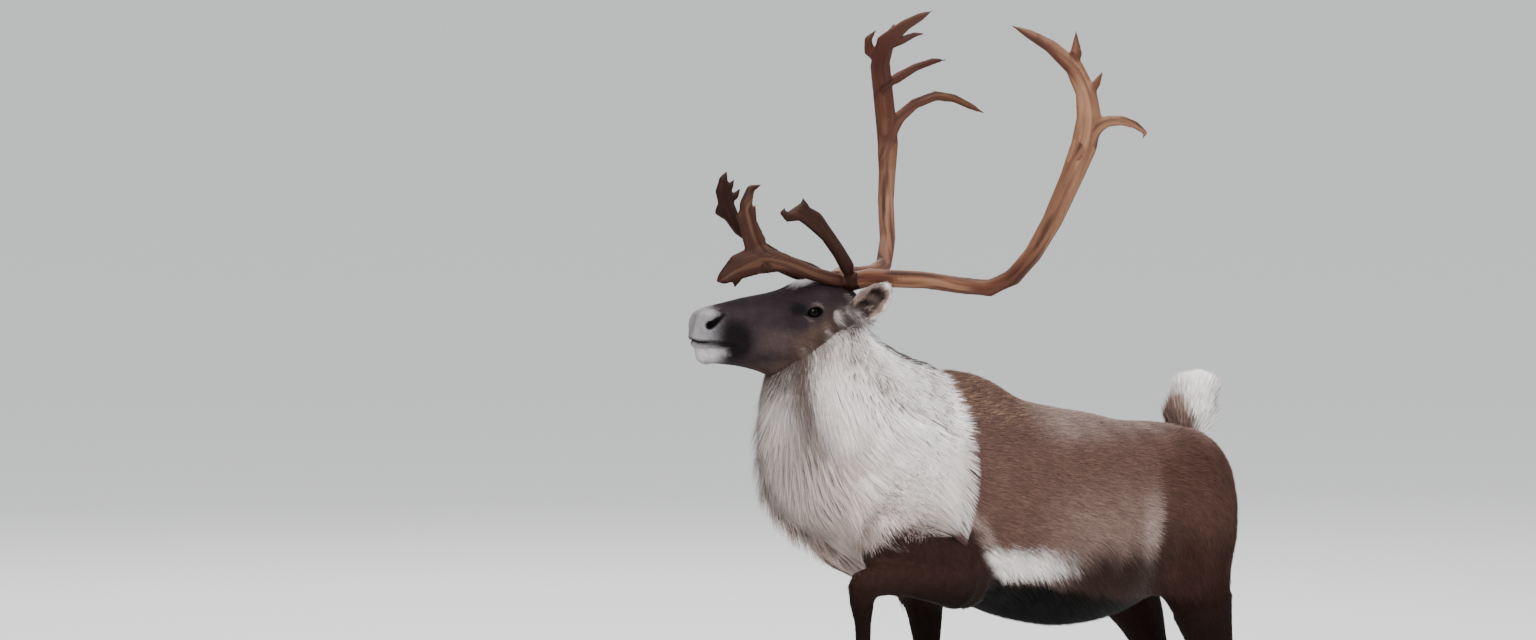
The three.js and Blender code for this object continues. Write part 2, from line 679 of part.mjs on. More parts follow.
function antler({ name, out }) {
  const plan = ANTLERS[name];
  const sides = 8;
  const stem = (rows, grow = 0) => {
    const mirrored = rows.map(([back, aside, up, broad, thick]) => [
      back, out * aside, up, thick, broad,
    ]);
    return placed(limb(mirrored).solid(sides, 1, grow), HEAD_PLACE);
  };
  const beam = stem(plan.beam);
  const beamSpace = stem(plan.beam, GAP);
  const cut = (index) => {
    const [from, to] = [plan.beam[index - 1], plan.beam[index + 1]].map(([back, aside, up]) =>
      new THREE.Vector3(back, out * aside, up).applyMatrix4(HEAD_PLACE)
    );
    const facing = to.clone().sub(from).toArray();
    return { through: from.add(to).divideScalar(2).toArray(), facing };
  };
  const [first, second] = plan.forks.map(cut);
  const root = sideOf(beam, first.through, opposite(first.facing));
  const rest = sideOf(beam, first.through, first.facing);
  const rise = sideOf(rest, second.through, opposite(second.facing));
  const palm = join(sideOf(rest, second.through, second.facing), ...plan.points.map((p) => stem(p)));
  const brow = join(...plan.brow.map((rows) => stem(rows)));
  const bez = join(...plan.bez.map((rows) => stem(rows)));
  const browSpace = join(...plan.brow.map((rows) => stem(rows, GAP)));
  addNode(`antler_${name}_root`, less(root, headSpace), FINISH.antler);
  addNode(`antler_${name}_rise`, rise, FINISH.antler);
  addNode(`antler_${name}_palm`, palm, FINISH.antler);
  const rear = less(stem(plan.rear), beamSpace, ...plan.points.map((rows) => stem(rows, GAP)));
  addNode(`antler_${name}_rear_tine`, rear, FINISH.antler);
  addNode(`antler_${name}_brow_tine`, less(brow, beamSpace, headSpace), FINISH.antler);
  addNode(`antler_${name}_bez_tine`, less(bez, beamSpace, headSpace, browSpace), FINISH.antler);
}

// A foot, from its fetlock at the origin: the pastern, two hooves and two dewclaws
const PASTERN = [[6, 0, 24, 20, 22], [0, 0, 2, 27, 30], [-12, 0, -26, 27, 28], [-26, 0, -54, 32, 27],
  [-38, 0, -80, 39, 30], [-44, 0, -98, 30, 26]];
const HOOF = [[-28, 0, -58, 14, 22], [-38, 0, -CORONET_DROP, 19, 31], [-48, 3, -98, 22, 39],
  [-58, 5, -120, 24, 46], [-66, 6, -FETLOCK_HEIGHT, 25, 53], [-66, 6, -FETLOCK_HEIGHT, 25, 53]];
const HOOF_INSIDE = 21; // centre of a hoof's top from the middle of the foot
const DEWCLAW = [[10, 12, -18, 10, 10], [26, 20, -40, 13, 15], [38, 25, -66, 13, 15],
  [45, 29, -92, 10, 11], [46, 31, -106, 3, 4]];

function level(rows, out, grow = 0, around = 9) {
  const sections = rows.map(([x, y, z, wide, deep]) => ({
    centre: [x, out * y, z],
    side: [0, wide, 0],
    top: [deep, 0, 0],
    power: 2.2,
  }));
  return new Body(sections).solid(around, 1, grow);
}

function foot(leg, out) {
  const turn = new THREE.Matrix4().makeRotationY(THREE.MathUtils.degToRad(leg.pitch));
  const place = new THREE.Matrix4().makeTranslation(...leg.fetlock).multiply(turn);
  const coronet = [0, 0, -CORONET_DROP];
  const pastern = sideOf(level(PASTERN, 1), coronet, [0, 0, 1]);
  const claws = [];
  for (const [which, way] of [['inner', -out], ['outer', out]]) {
    const rows = HOOF.map(([x, y, ...rest]) => [x, HOOF_INSIDE + y, ...rest]);
    const hoof = sideOf(level(rows, way), coronet, [0, 0, -1]);
    claws.push([`hoof_${which}`, placed(hoof, place), FINISH.hoof]);
    const dewclaw = less(level(DEWCLAW, way, 0, 6), level(PASTERN, 1, GAP));
    claws.push([`dewclaw_${which}`, placed(dewclaw, place), FINISH.hoof]);
  }
  return { pastern: placed(pastern, place), pasternSpace: placed(level(PASTERN, 1, GAP), place), claws };
}

function boxSolid({ x, y, z }, out, margin) {
  const deep = 400;
  const size = [x[1] - x[0] + 2 * margin, deep, z[1] - z[0] + 2 * margin];
  const geometry = new THREE.BoxGeometry(...size);
  const middle = out * (y - margin + deep / 2);
  geometry.translate((x[0] + x[1]) / 2, middle, (z[0] + z[1]) / 2);
  return solidOf(geometry);
}

// The forearm or gaskin starts inside the top of the leg. Below a standing leg's block it
// is fused with it; on the lifted leg the top is cut to let it pass.
function buildLeg(leg, out) {
  const { pastern, claws } = foot(leg, out);
  const lower = (grow) => {
    const pieces = [limb(leg.middle).solid(10, 1, grow), limb(leg.low).solid(10, 1, grow)];
    return leg.hock ? join(...pieces, ball(leg.hock, [30, 20, 34], [0, 0.5, 0], 12, 8)) : join(...pieces);
  };
  const block = body.intersect(boxSolid(leg.block, out, -GAP / 2));
  const lifted = leg.pitch !== 0;
  const floor = [0, 0, leg.block.z[0]];
  const limbWhole = join(lower(0), pastern);
  const upper = lifted ? less(block, lower(GAP)) : block;
  const below = lifted
    ? limbWhole
    : less(sideOf(join(limbWhole, limb(leg.top).solid(12)), floor, [0, 0, -1]), trunkSpace);
  const [upperName, middleName, lowName] = leg.parts;
  addNode(`${leg.name}_${upperName}`, upper, FINISH.leg);
  const { through, facing } = leg.knee;
  addNode(`${leg.name}_${middleName}`, sideOf(below, through, opposite(facing)), FINISH.leg);
  addNode(`${leg.name}_${lowName}`, sideOf(below, through, facing), FINISH.leg);
  for (const [piece, solid, finish] of claws) {
    addNode(`${leg.name}_${piece}`, solid, finish);
  }
  return lifted ? lower(GAP) : sideOf(limb(leg.top).solid(12, 1, GAP), floor, [0, 0, -1]);
}

// Tail: raised, short and broad, with locks that fan up and out from a slimmer core

const TAIL = limb([[705, 0, 1000, 20, 24], [712, 0, 1040, 36, 50], [720, 0, 1075, 42, 60],
  [728, 0, 1105, 44, 58], [738, 0, 1130, 36, 44], [746, 0, 1143, 12, 14]]);
const TAIL_HAIR = 16;

function tail() {
  const locks = [];
  const rings = [
    { t: 0.22, count: 5, rise: 66, reach: [0.35, 0.7, 0.92, 1.05, 1.1] },
    { t: 0.5, count: 5, rise: 58, reach: [0.3, 0.66, 0.84, 0.86, 0.8] },
    { t: 0.66, count: 3, rise: 50, reach: [0.15, 0.4, 0.5, 0.46, 0.36] },
  ];
  for (const { t, count, rise, reach } of rings) {
    const centre = TAIL.centre.getPoint(t);
    const up = TAIL.centre.getTangent(t);
    for (let i = 0; i < count; i++) {
      const angle = (2 * Math.PI * (i + draw(0.3, 0.7))) / count;
      const away = TAIL.point(t, angle).sub(centre);
      const climb = rise * draw(0.85, 1.05);
      const path = LOCK_RUN.map((run, j) =>
        centre.clone().addScaledVector(away, reach[j]).addScaledVector(up, climb * run)
      );
      locks.push(lock(path, away.clone().normalize(), draw(22, 26), draw(6, 8)));
    }
  }
  return join(TAIL.solid(10, 1, 0, () => TAIL_HAIR), ...locks);
}

const body = wholeBody();
const bodySpace = wholeBody(GAP);
const trunkSpace = TRUNK.solid(22, 1, GAP);
const limbSpaces = LEGS.map((leg) => buildLeg(leg, leg.name.endsWith('left') ? -1 : 1));
const blocks = LEGS.map(({ name, block }) =>
  boxSolid(block, name.endsWith('left') ? -1 : 1, GAP / 2)
);
const rest = less(body, ...blocks, ...limbSpaces);
const { through, facing } = NECK_FRONT_OF;
addNode('torso', sideOf(rest, through, opposite(facing)), FINISH.coat);
const maned = join(sideOf(rest, through, facing), ...maneLocks());
addNode('neck', less(sideOf(maned, through, facing), headSpace, ...blocks, ...limbSpaces), FINISH.mane);
addNode('head', head, FINISH.face);
addNode('tail', less(tail(), bodySpace), FINISH.coat);
for (const side of SIDES) {
  addNode(`eye_${side.name}`, placed(eyeBall(side.out), HEAD_PLACE), FINISH.eye);
  addNode(`ear_${side.name}`, less(ear(side.out), headSpace, bodySpace), FINISH.face);
  antler(side);
}

// The model is set over the middle of the ground that it covers.
const extent = new THREE.Box3().setFromObject(model);
const middle = extent.getCenter(new THREE.Vector3());
model.position.set(-middle.x, -middle.y, -extent.min.z);

export default model;
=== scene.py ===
"""Looks for a life-size bull caribou: skin, coat, antlers, eyes and hooves on its CAD frame."""

import math

import bmesh
import bpy
import numpy as np
from mathutils import Matrix, Vector, kdtree


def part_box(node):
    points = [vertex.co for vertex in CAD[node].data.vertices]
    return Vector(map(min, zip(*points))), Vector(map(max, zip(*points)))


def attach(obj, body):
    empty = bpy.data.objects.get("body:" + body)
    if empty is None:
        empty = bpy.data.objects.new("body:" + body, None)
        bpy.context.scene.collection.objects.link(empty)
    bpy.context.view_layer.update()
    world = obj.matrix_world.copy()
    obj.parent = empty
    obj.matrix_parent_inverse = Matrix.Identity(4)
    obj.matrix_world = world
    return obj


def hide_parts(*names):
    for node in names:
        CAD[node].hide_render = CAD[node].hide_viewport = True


bl_info = {
    "name": "Caribou Bull",
    "version": (1, 0, 0),
    "blender": (4, 5, 0),
    "location": "View3D > Sidebar > Caribou",
    "description": "Skin, coat, antlers, eyes and hooves of a life-size bull caribou",
    "category": "Add Mesh",
}

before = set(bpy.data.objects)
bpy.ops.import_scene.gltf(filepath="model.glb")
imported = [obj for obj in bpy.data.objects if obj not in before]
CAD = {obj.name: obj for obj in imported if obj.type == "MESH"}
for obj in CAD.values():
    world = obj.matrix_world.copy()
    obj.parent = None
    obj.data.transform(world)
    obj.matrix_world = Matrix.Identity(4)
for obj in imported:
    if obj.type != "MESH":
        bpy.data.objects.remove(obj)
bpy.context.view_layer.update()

# The bull's own axes: millimetres, x 0 at the withers, y 0 in its middle plane, z 0 on the
# ground. It faces -x and its left side is -y. They are those of the CAD source.
MM = 0.001
POLL = np.array([-309.0, 20.0, 1403.0])
HEAD_TURN = math.radians(-16)
EYE = np.array([-107.0, 66.0, -66.0])
EYE_RADIUS = 17.0
SIDES = {"left": -1, "right": 1}
STANDING_FEET = ("foreleg_right", "hindleg_left", "hindleg_right")
STEM_STEPS = 240
FLECKS = 15000
TAIL_STRANDS = 9500
HOOF_MESH = 0.0032
# Painted shade: the skin is darker than the hair over it, and a tuft is darker at its root, as shade
# falls deep in the coat.
PAINTED_SKIN_SHADE = 0.85
PAINTED_ROOT_SHADE = 0.85
BAKE_PATCH = 0.003

# The photograph: its size, its pixels to the metre at the model, and the pixel of the withers
PHOTO_SIZE = (1536, 640)
PIXELS_TO_METRE = 448
WITHERS_PIXEL = (955, 367)

# The head's own axes: the poll is 0, -x runs to the nose and -y is its left.
HEAD_AXES = np.array(
    [
        [math.cos(HEAD_TURN), math.sin(HEAD_TURN), 0],
        [-math.sin(HEAD_TURN), math.cos(HEAD_TURN), 0],
        [0, 0, 1],
    ]
)

# Trunk: along, top, bottom, half width, lean of the flanks
TRUNK_ROWS = [
    (-455, 985, 900, 40, 0), (-420, 1050, 858, 112, 0), (-350, 1120, 797, 164, 0.05),
    (-260, 1165, 738, 196, 0.12), (-150, 1192, 694, 212, 0.2), (-40, 1203, 670, 218, 0.27),
    (60, 1186, 654, 226, 0.25), (160, 1136, 624, 236, 0.17), (270, 1110, 603, 240, 0.12),
    (380, 1092, 606, 230, 0.08), (480, 1070, 630, 214, 0.04), (580, 1062, 668, 200, 0),
    (670, 1050, 720, 176, 0), (735, 1022, 780, 136, 0), (778, 970, 850, 80, 0),
    (795, 905, 895, 20, 0),
]

# Neck: upper x and z, lower x and z, half width, y
NECK_ROWS = [
    (-40, 1150, -150, 760, 110, 0), (-90, 1205, -300, 790, 170, 0),
    (-145, 1224, -415, 838, 165, 2), (-195, 1246, -495, 900, 152, 6),
    (-238, 1272, -522, 980, 138, 10), (-270, 1300, -528, 1060, 122, 16),
    (-290, 1330, -520, 1130, 106, 22), (-302, 1352, -495, 1190, 92, 28),
    (-345, 1335, -455, 1235, 60, 32),
]

# Tail: x, y, z, half width, half depth
TAIL_ROWS = [
    (705, 0, 1000, 20, 24), (712, 0, 1040, 36, 50), (720, 0, 1075, 42, 60),
    (728, 0, 1105, 44, 58), (738, 0, 1130, 36, 44), (746, 0, 1143, 12, 14),
]

# Shoulders and haunches: centre, radii, pitch
MUSCLES = [
    ((-255, -122, 915), (128, 98, 185), 0.35), ((-200, 116, 920), (128, 96, 180), 0.2),
    ((590, -116, 885), (148, 92, 170), -0.12), ((570, 114, 885), (150, 92, 170), 0.1),
]

# Lines down the middle of the legs, with the radius there
LEG_LINES = {
    "foreleg_left": [
        (-330, -134, 900, 80), (-200, -148, 802, 74), (-110, -160, 722, 54), (-168, -167, 742, 58),
        (-285, -162, 752, 42), (-378, -160, 750, 36), (-410, -160, 735, 34), (-408, -160, 660, 22),
        (-406, -160, 545, 19), (-402, -160, 480, 28), (-372, -160, 400, 34), (-355, -160, 340, 40),
    ],
    "foreleg_right": [
        (-262, 134, 885, 84), (-100, 138, 775, 76), (2, 118, 730, 60), (0, 101, 640, 42),
        (-2, 92, 575, 32), (-8, 82, 510, 28), (-22, 66, 400, 31), (-32, 53, 310, 20),
        (-48, 34, 195, 20), (-56, 24, 138, 28), (-100, 23, 58, 36), (-120, 23, 0, 46),
    ],
    "hindleg_left": [
        (592, -108, 950, 110), (598, -132, 790, 110), (624, -132, 680, 80), (654, -124, 600, 62),
        (690, -115, 520, 44), (740, -107, 440, 34), (760, -104, 370, 26), (782, -102, 250, 20),
        (800, -100, 170, 26), (806, -100, 138, 29), (762, -100, 58, 36), (742, -100, 0, 46),
    ],
    "hindleg_right": [
        (565, 108, 950, 110), (576, 126, 790, 106), (606, 122, 690, 76), (662, 107, 600, 56),
        (688, 97, 520, 42), (700, 88, 440, 34), (676, 84, 360, 25), (640, 81, 245, 20),
        (616, 80, 170, 26), (606, 80, 138, 29), (562, 80, 58, 36), (542, 80, 0, 46),
    ],
}


# Sizes and places


def to_head(points):
    """Points in the bull's axes, in those of its head."""
    return (np.asarray(points, float) - POLL) @ HEAD_AXES.T


def from_head(points):
    """Points in the head's axes, in those of the bull."""
    return np.asarray(points, float) @ HEAD_AXES + POLL


def box_middle(node):
    low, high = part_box(node)
    return (np.array(low) + np.array(high)) / 2


SHIFT = box_middle("eye_left") - MM * from_head(EYE * (1, -1, 1))


def to_row(points):
    """Points in the bull's axes, in the frame's metres."""
    return np.asarray(points, float) * MM + SHIFT


def to_bull(points):
    """Points in the frame's metres, in the bull's axes."""
    return (np.asarray(points, float) - SHIFT) / MM


def unit(vectors):
    return vectors / np.maximum(np.linalg.norm(vectors, axis=-1, keepdims=True), 1e-9)


def across(vectors, normals):
    """Vectors laid into the surface that has these normals."""
    return unit(vectors - normals * np.sum(vectors * normals, axis=-1, keepdims=True))


def step(value, low, high):
    """0 below low, 1 above high and smooth between them. Low may be the larger."""
    share = np.clip((value - low) / (high - low), 0, 1)
    return share * share * (3 - 2 * share)


def wobble(points, size, seed):
    """Smooth unevenness from about -1 to 1, in patches of about that size."""
    rng = np.random.default_rng(seed)
    total = np.zeros(len(points))
    for _ in range(7):
        direction = unit(rng.normal(size=3))
        wave = size * rng.uniform(0.7, 1.6)
        total += np.sin(points @ direction * (2 * math.pi / wave) + rng.uniform(0, 6.28))
    return total / 3.2


def curve(rows, t):
    """A smooth curve through rows of numbers, read at t from 0 to 1."""
    rows = np.asarray(rows, float)
    last = len(rows) - 1
    place = np.clip(np.asarray(t, float), 0, 1) * last
    index = np.minimum(place.astype(int), last - 1)
    part = (place - index)[..., None]
    padded = np.vstack([2 * rows[0] - rows[1], rows, 2 * rows[-1] - rows[-2]])
    a, b, c, d = (padded[index + i] for i in range(4))
    bend = 2 * a - 5 * b + 4 * c - d + part * (3 * (b - c) + d - a)
    return b + 0.5 * part * (c - a + part * bend)


def slices(rows):
    """Stations of upright slices: centre, half axis to the side, half axis up, lean."""
    return [
        (x, 0, (high + low) / 2, 0, wide, 0, 0, 0, (high - low) / 2, lean)
        for x, high, low, wide, lean in rows
    ]


def spans(rows):
    """Stations of slices between an upper and a lower outline."""
    return [
        ((ux + lx) / 2, y, (uz + lz) / 2, 0, wide, 0, (ux - lx) / 2, 0, (uz - lz) / 2, 0)
        for ux, uz, lx, lz, wide, y in rows
    ]


def upright(rows):
    """Stations of level slices, from below upwards."""
    return [(x, y, z, 0, wide, 0, -deep, 0, 0, 0) for x, y, z, wide, deep in rows]


def on_form(stations, t, angle, out=0.0):
    """Points on a form at t along it and angle round it, set out by a height."""
    rows = curve(stations, t)
    centre, side, top, lean = rows[..., 0:3], rows[..., 3:6], rows[..., 6:9], rows[..., 9]
    x, y = np.cos(angle), np.sin(angle)
    wide = np.linalg.norm(side, axis=-1) * x * (1 - lean * y) + out * x
    high = np.linalg.norm(top, axis=-1) * y + out * y
    return centre + unit(side) * wide[..., None] + unit(top) * high[..., None]


TRUNK = slices(TRUNK_ROWS)
NECK = spans(NECK_ROWS)
TAIL = upright(TAIL_ROWS)


def mane_depth(t, angle):
    """Depth of the long hair: none at the nape, most at the throat and the chest."""
    under = -np.sin(angle)
    depth = 12 * step(under, -0.75, -0.1) + 18 * step(under, 0, 0.9)
    return depth * step(t, 0.02, 0.22) * (1 - 0.5 * step(t, 0.8, 1))


def near_legs(points):
    """For each point: the leg, how far out from its line in radii, place and way along it."""
    best = np.full(len(points), 1e9)
    leg = np.zeros(len(points), int)
    place = np.zeros(len(points))
    way = np.zeros((len(points), 3))
    away = np.zeros((len(points), 3))
    for number, rows in enumerate(LEG_LINES.values()):
        rows = np.array(rows, float)
        run = 0.0
        for a, b in zip(rows[:-1], rows[1:]):
            along = b[:3] - a[:3]
            long = np.linalg.norm(along)
            share = np.clip((points - a[:3]) @ along / long**2, 0, 1)
            offset = points - (a[:3] + share[:, None] * along)
            radius = a[3] + share * (b[3] - a[3])
            ratio = np.linalg.norm(offset, axis=1) / radius
            closer = ratio < best
            best[closer] = ratio[closer]
            leg[closer] = number
            place[closer] = (run + share * long)[closer]
            way[closer] = along / long
            away[closer] = offset[closer]
            run += long
    return {"ratio": best, "leg": leg, "place": place, "way": way, "away": away}


# How far down a leg's line, in mm, its short coat begins, in the order of those lines
LEG_START = np.array([250, 330, 300, 300])
RAISED_LEG = 0
FIRST_HIND_LEG = 2


def leg_share(near):
    """1 on the legs below elbow and stifle, 0 on the trunk."""
    below = near["place"] - LEG_START[near["leg"]]
    return step(near["ratio"], 1.9, 1.25) * step(below, -60, 30)


def neck_place(points):
    """How far up the neck points lie, how far round it and how far out of it, in mm."""
    rows = curve(NECK, np.linspace(0, 1, 81))
    wide = np.linalg.norm(rows[:, 3:6], axis=1)
    high = np.linalg.norm(rows[:, 6:9], axis=1)
    top = rows[:, 6:9] / high[:, None]
    forward = unit(np.cross(rows[:, 3:6], top))
    best = np.full(len(points), 1e9)
    found = np.zeros((len(points), 3))
    for i in range(81):
        offset = points - rows[i, 0:3]
        gap = np.abs(offset @ forward[i])
        closer = gap < best
        best[closer] = gap[closer]
        aside, above = offset[closer, 1], offset[closer] @ top[i]
        ratio = np.hypot(aside / wide[i], above / high[i]).clip(1e-3)
        out = (1 - 1 / ratio) * np.hypot(aside, above)
        found[closer] = np.stack(
            [np.full(len(out), i / 80), np.arctan2(above / high[i], aside / wide[i]), out], axis=1
        )
    return found[:, 0], found[:, 1], found[:, 2]


def mane_share(points):
    """1 where the long mane is rooted, 0 elsewhere."""
    t, angle, out = neck_place(points)
    depth = mane_depth(t, angle)
    return step(np.abs(out + depth), 40, 20) * step(depth, 4, 10) * step(t, 0.1, 0.17)


# Colour


def linear(code):
    """A linear colour from an sRGB hex code."""
    parts = [int(code[i : i + 2], 16) / 255 for i in (1, 3, 5)]
    return tuple(p / 12.92 if p <= 0.04045 else ((p + 0.055) / 1.055) ** 2.4 for p in parts)


class Paint:
    """Named colours laid over one another on a number of points."""

    def __init__(self, base, count):
        self.colour = np.tile(np.array(linear(COLOURS[base])), (count, 1))

    def lay(self, name, share):
        """Lays one more colour over the others, by a share from 0 to 1."""
        share = np.clip(share, 0, 1)[:, None]
        self.colour = self.colour * (1 - share) + np.array(linear(COLOURS[name])) * share


COLOURS = {
    "back": "#523d37", "tan": "#8a6e54", "flank": "#5a433c", "mauve": "#735f57", "pale": "#a08e86",
    "sooty": "#1d0c07", "thigh": "#46302a", "rump": "#684f45", "painted_belly_shadow": "#020101",
    "white": "#fbf4f2", "cream": "#ebe1de", "grey": "#a99b95", "fleck": "#4e372e",
    "throat": "#4c3c34", "chest": "#82685c", "leg": "#120705", "shin": "#0a0504",
    "arm": "#2c1b16", "sock": "#a59892", "tail": "#93766a",
    "face": "#2d2427", "bridge": "#221a1d", "cheek": "#433635", "lip": "#0b0708",
    "nose": "#5c595c", "chin": "#b8b1b4", "skin": "#070505", "lid": "#72635f",
    "ear": "#55443e", "hollow": "#8c7770", "shade": "#170f0d", "rim": "#e2d6d1",
    "beam": "#4c2c20", "bleach_and_light": "#8f6a50", "deep": "#35150f", "groove": "#1f0f0a",
    "tine": "#1c0703", "ends": "#4f372f", "eyeball": "#040202", "iris": "#0c0604",
    "pupil": "#020101",
}

# Lines where the markings of the trunk meet, and the top of the painted shadow under the belly, as x
# against z or z against x
SHOULDER_LINE = ([860, 885, 920, 980, 1040, 1090, 1150, 1200],
                 [-262, -250, -216, -180, -118, -96, -89, -66])
SHOULDER_FOOT = ([-420, -385, -352, -300, -250, -216], [775, 800, 888, 908, 922, 940])
THIGH_LINE = ([700, 770, 930, 1010], [428, 417, 443, 475])
BAND_TOP = ([-110, -60, 155], [800, 808, 784])
BELLY_SHADOW_TOP = ([-330, -60, 100, 357, 600], [745, 748, 732, 676, 664])

# Folds of the coat, seen from the side: the pale fold behind the shoulder, and the crease before it,
# darkened as painted shade
SHOULDER_FOLD = [(-185, 0, 925), (-122, 0, 862), (-74, 0, 800), (-60, 0, 750)]
CHEST_CREASE_SHADE = [(-374, 0, 1040), (-392, 0, 930), (-412, 0, 830)]


def between(place, table):
    """A line's value at places, read from its two rows."""
    return np.interp(place, table[0], table[1])


def body_colours(points):
    """Colours of skin and coat on the trunk, neck, legs and tail."""
    x, y, z = points.T
    rough = wobble(points, 110, 1)
    fine = wobble(points, 26, 2)
    grain = wobble(points, 8, 3)
    near = near_legs(points)
    hind = near["leg"] >= FIRST_HIND_LEG
    leg = leg_share(near)
    coat = Paint("back", len(points))
    coat.lay("flank", step(z + 20 * rough, 1080, 990))
    coat.lay("tan", step(z, 1040, 1130) * step(grain + 0.4 * fine, 0.1, 0.9) * 0.6)
    coat.lay("mauve", step(z + 22 * rough, 965, 850) * step(x, 0, 190) * 0.8)
    # Painted highlight: the top of the loin lighter in the pale colour, where the light falls on it.
    coat.lay("pale", step(z + 14 * rough, 1000, 1080) * step(x, 60, 240) * 0.42)
    edge = between(z, THIGH_LINE)
    coat.lay("pale", step(np.abs(x - edge + 34), 52, 6) * step(z, 935, 850) * 0.5)
    fold = line_distance(points * (1, 0, 1), SHOULDER_FOLD)
    coat.lay("pale", step(fold, 30, 6) * (0.45 + 0.2 * fine) * (np.abs(y) > 110))
    low = step(z + 12 * rough + 6 * fine, 818, 748) * step(x, 70, 200)
    coat.lay("sooty", low * 0.9)
    haunch = step(x + 5 * fine, edge - 10, edge + 14) * step(np.abs(y), 50, 100)
    coat.lay("thigh", haunch * step(z + 25 * rough, 1060, 940))
    coat.lay("rump", step(x, 640, 740) * step(z + 20 * rough, 900, 1000) * 0.7)
    # Painted shadow: the underside of the trunk near black, below the line of its top.
    under = step(z + 5 * rough + 4 * fine - between(x, BELLY_SHADOW_TOP), 8, -8) * step(x, -330, -260)
    coat.lay("painted_belly_shadow", under)
    top = between(x, BAND_TOP)
    band = step(z + 3 * fine, 738, 750) * step(z + 9 * grain + 6 * fine, top + 14, top - 20)
    band *= step(x + 8 * fine, -118, -92) * step(x + 24 * fine, 190, 60) * step(np.abs(y), 110, 150)
    coat.lay("white", band * 0.8)
    arm = step(near["ratio"], 1.7, 1.25) * ~hind * step(z + 6 * fine, 892, 866) * (np.abs(y) > 60)
    coat.lay("arm", arm)
    white_of_neck(coat, points, rough, fine, grain)
    coat.lay("sooty", haunch * step(z + 20 * rough, 880, 700) * 0.75)
    coat.lay("sooty", leg * hind)
    coat.lay("leg", leg * np.where(hind, step(z, 700, 540), step(z, 790, 680)))
    coat.lay("shin", leg * step(z, 420, 330))
    sock = leg * step(np.abs(z - 126 + 4 * fine), 24, 12) * (near["leg"] != RAISED_LEG)
    coat.lay("sock", sock * 0.6)
    tail = step(z, 1058, 1074) * step(x, 640, 665)
    coat.lay("tail", tail)
    coat.lay("white", tail * step(x + 9 * fine + 0.1 * (z - 1110), 706, 738))
    behind = x + 0.42 * (z - 900).clip(0)
    narrow = 30 * step(z, 900, 960)
    stern = step(behind, 740, 776) * step(np.abs(y) + 10 * fine - narrow, 88, 46) * step(z, 790, 880)
    coat.lay("white", stern * 0.9)
    speck = wobble(points, 5, 9)
    return coat.colour * (1 + 0.06 * rough + 0.08 * fine + 0.13 * grain + 0.16 * speck)[:, None]


def white_of_neck(coat, points, rough, fine, grain):
    """Lays the white of neck and shoulder, with its greyer throat, crease and dark flecks, and painted
    light and shade: whiter above, darker underneath and in the crease.
    """
    x, y, z = points.T
    line = between(z, SHOULDER_LINE)
    foot = between(x, SHOULDER_FOOT) - 150 * step(np.abs(y), 120, 70)
    white = step(x + 9 * fine + 5 * grain, line + 12, line - 10)
    white *= step(z + 7 * fine + 5 * grain, foot - 12, foot + 10)
    near = near_legs(points)
    white *= 1 - step(near["ratio"], 1.4, 1.1) * step(near["place"], 200, 250)
    coat.lay("cream", white)
    t, angle, _ = neck_place(points)
    under = -np.sin(angle)
    # Painted light and shade: the white kept off the neck's underside and the chest colour laid there, as
    # the underside lies in shade.
    bright = step(x + 40 * rough, -400, -230) * step(under, 0.75, 0.2)
    coat.lay("white", white * bright * 0.7)
    coat.lay("chest", white * step(under + 0.2 * rough, 0.25, 0.7) * step(t, 0.8, 0.6) * 0.62)
    # Painted shade: a darker line down the crease between the mane and the shoulder.
    crease = line_distance(points * (1, 0, 1), CHEST_CREASE_SHADE)
    coat.lay("chest", white * step(crease, 34, 6) * 0.75)
    coat.lay("chest", white * step(z + 12 * rough, 925, 800) * step(x, -330, -380) * 0.6)
    throat = np.exp(-(((under - 0.72 + 0.05 * rough) / 0.24) ** 2)) * step(t + 0.04 * rough, 0.5, 0.7)
    throat = np.maximum(throat, step(under, 0.35, 0.9) * step(t + 0.04 * rough, 0.8, 0.95))
    coat.lay("throat", white * throat * 0.92)
    coat.lay("grey", white * step(t, 0.62, 0.9) * step(under, 0.5, -0.3) * 0.5)
    collar = step(t + 0.03 * fine + 0.03 * rough, 0.74, 0.95) * step(under, -0.3, 0.35)
    coat.lay("throat", white * collar * 0.8)
    rear = step(x, line - 150, line - 10) * step(z, 900, 960)
    nape = step(under, -0.2, -0.8) * step(t, 0.15, 0.3)
    flecks = np.maximum(rear, nape) * step(grain + 0.3 * fine, 0.35, 0.75)
    coat.lay("fleck", white * flecks * (0.55 - 0.35 * step(under, -0.6, -0.95)))


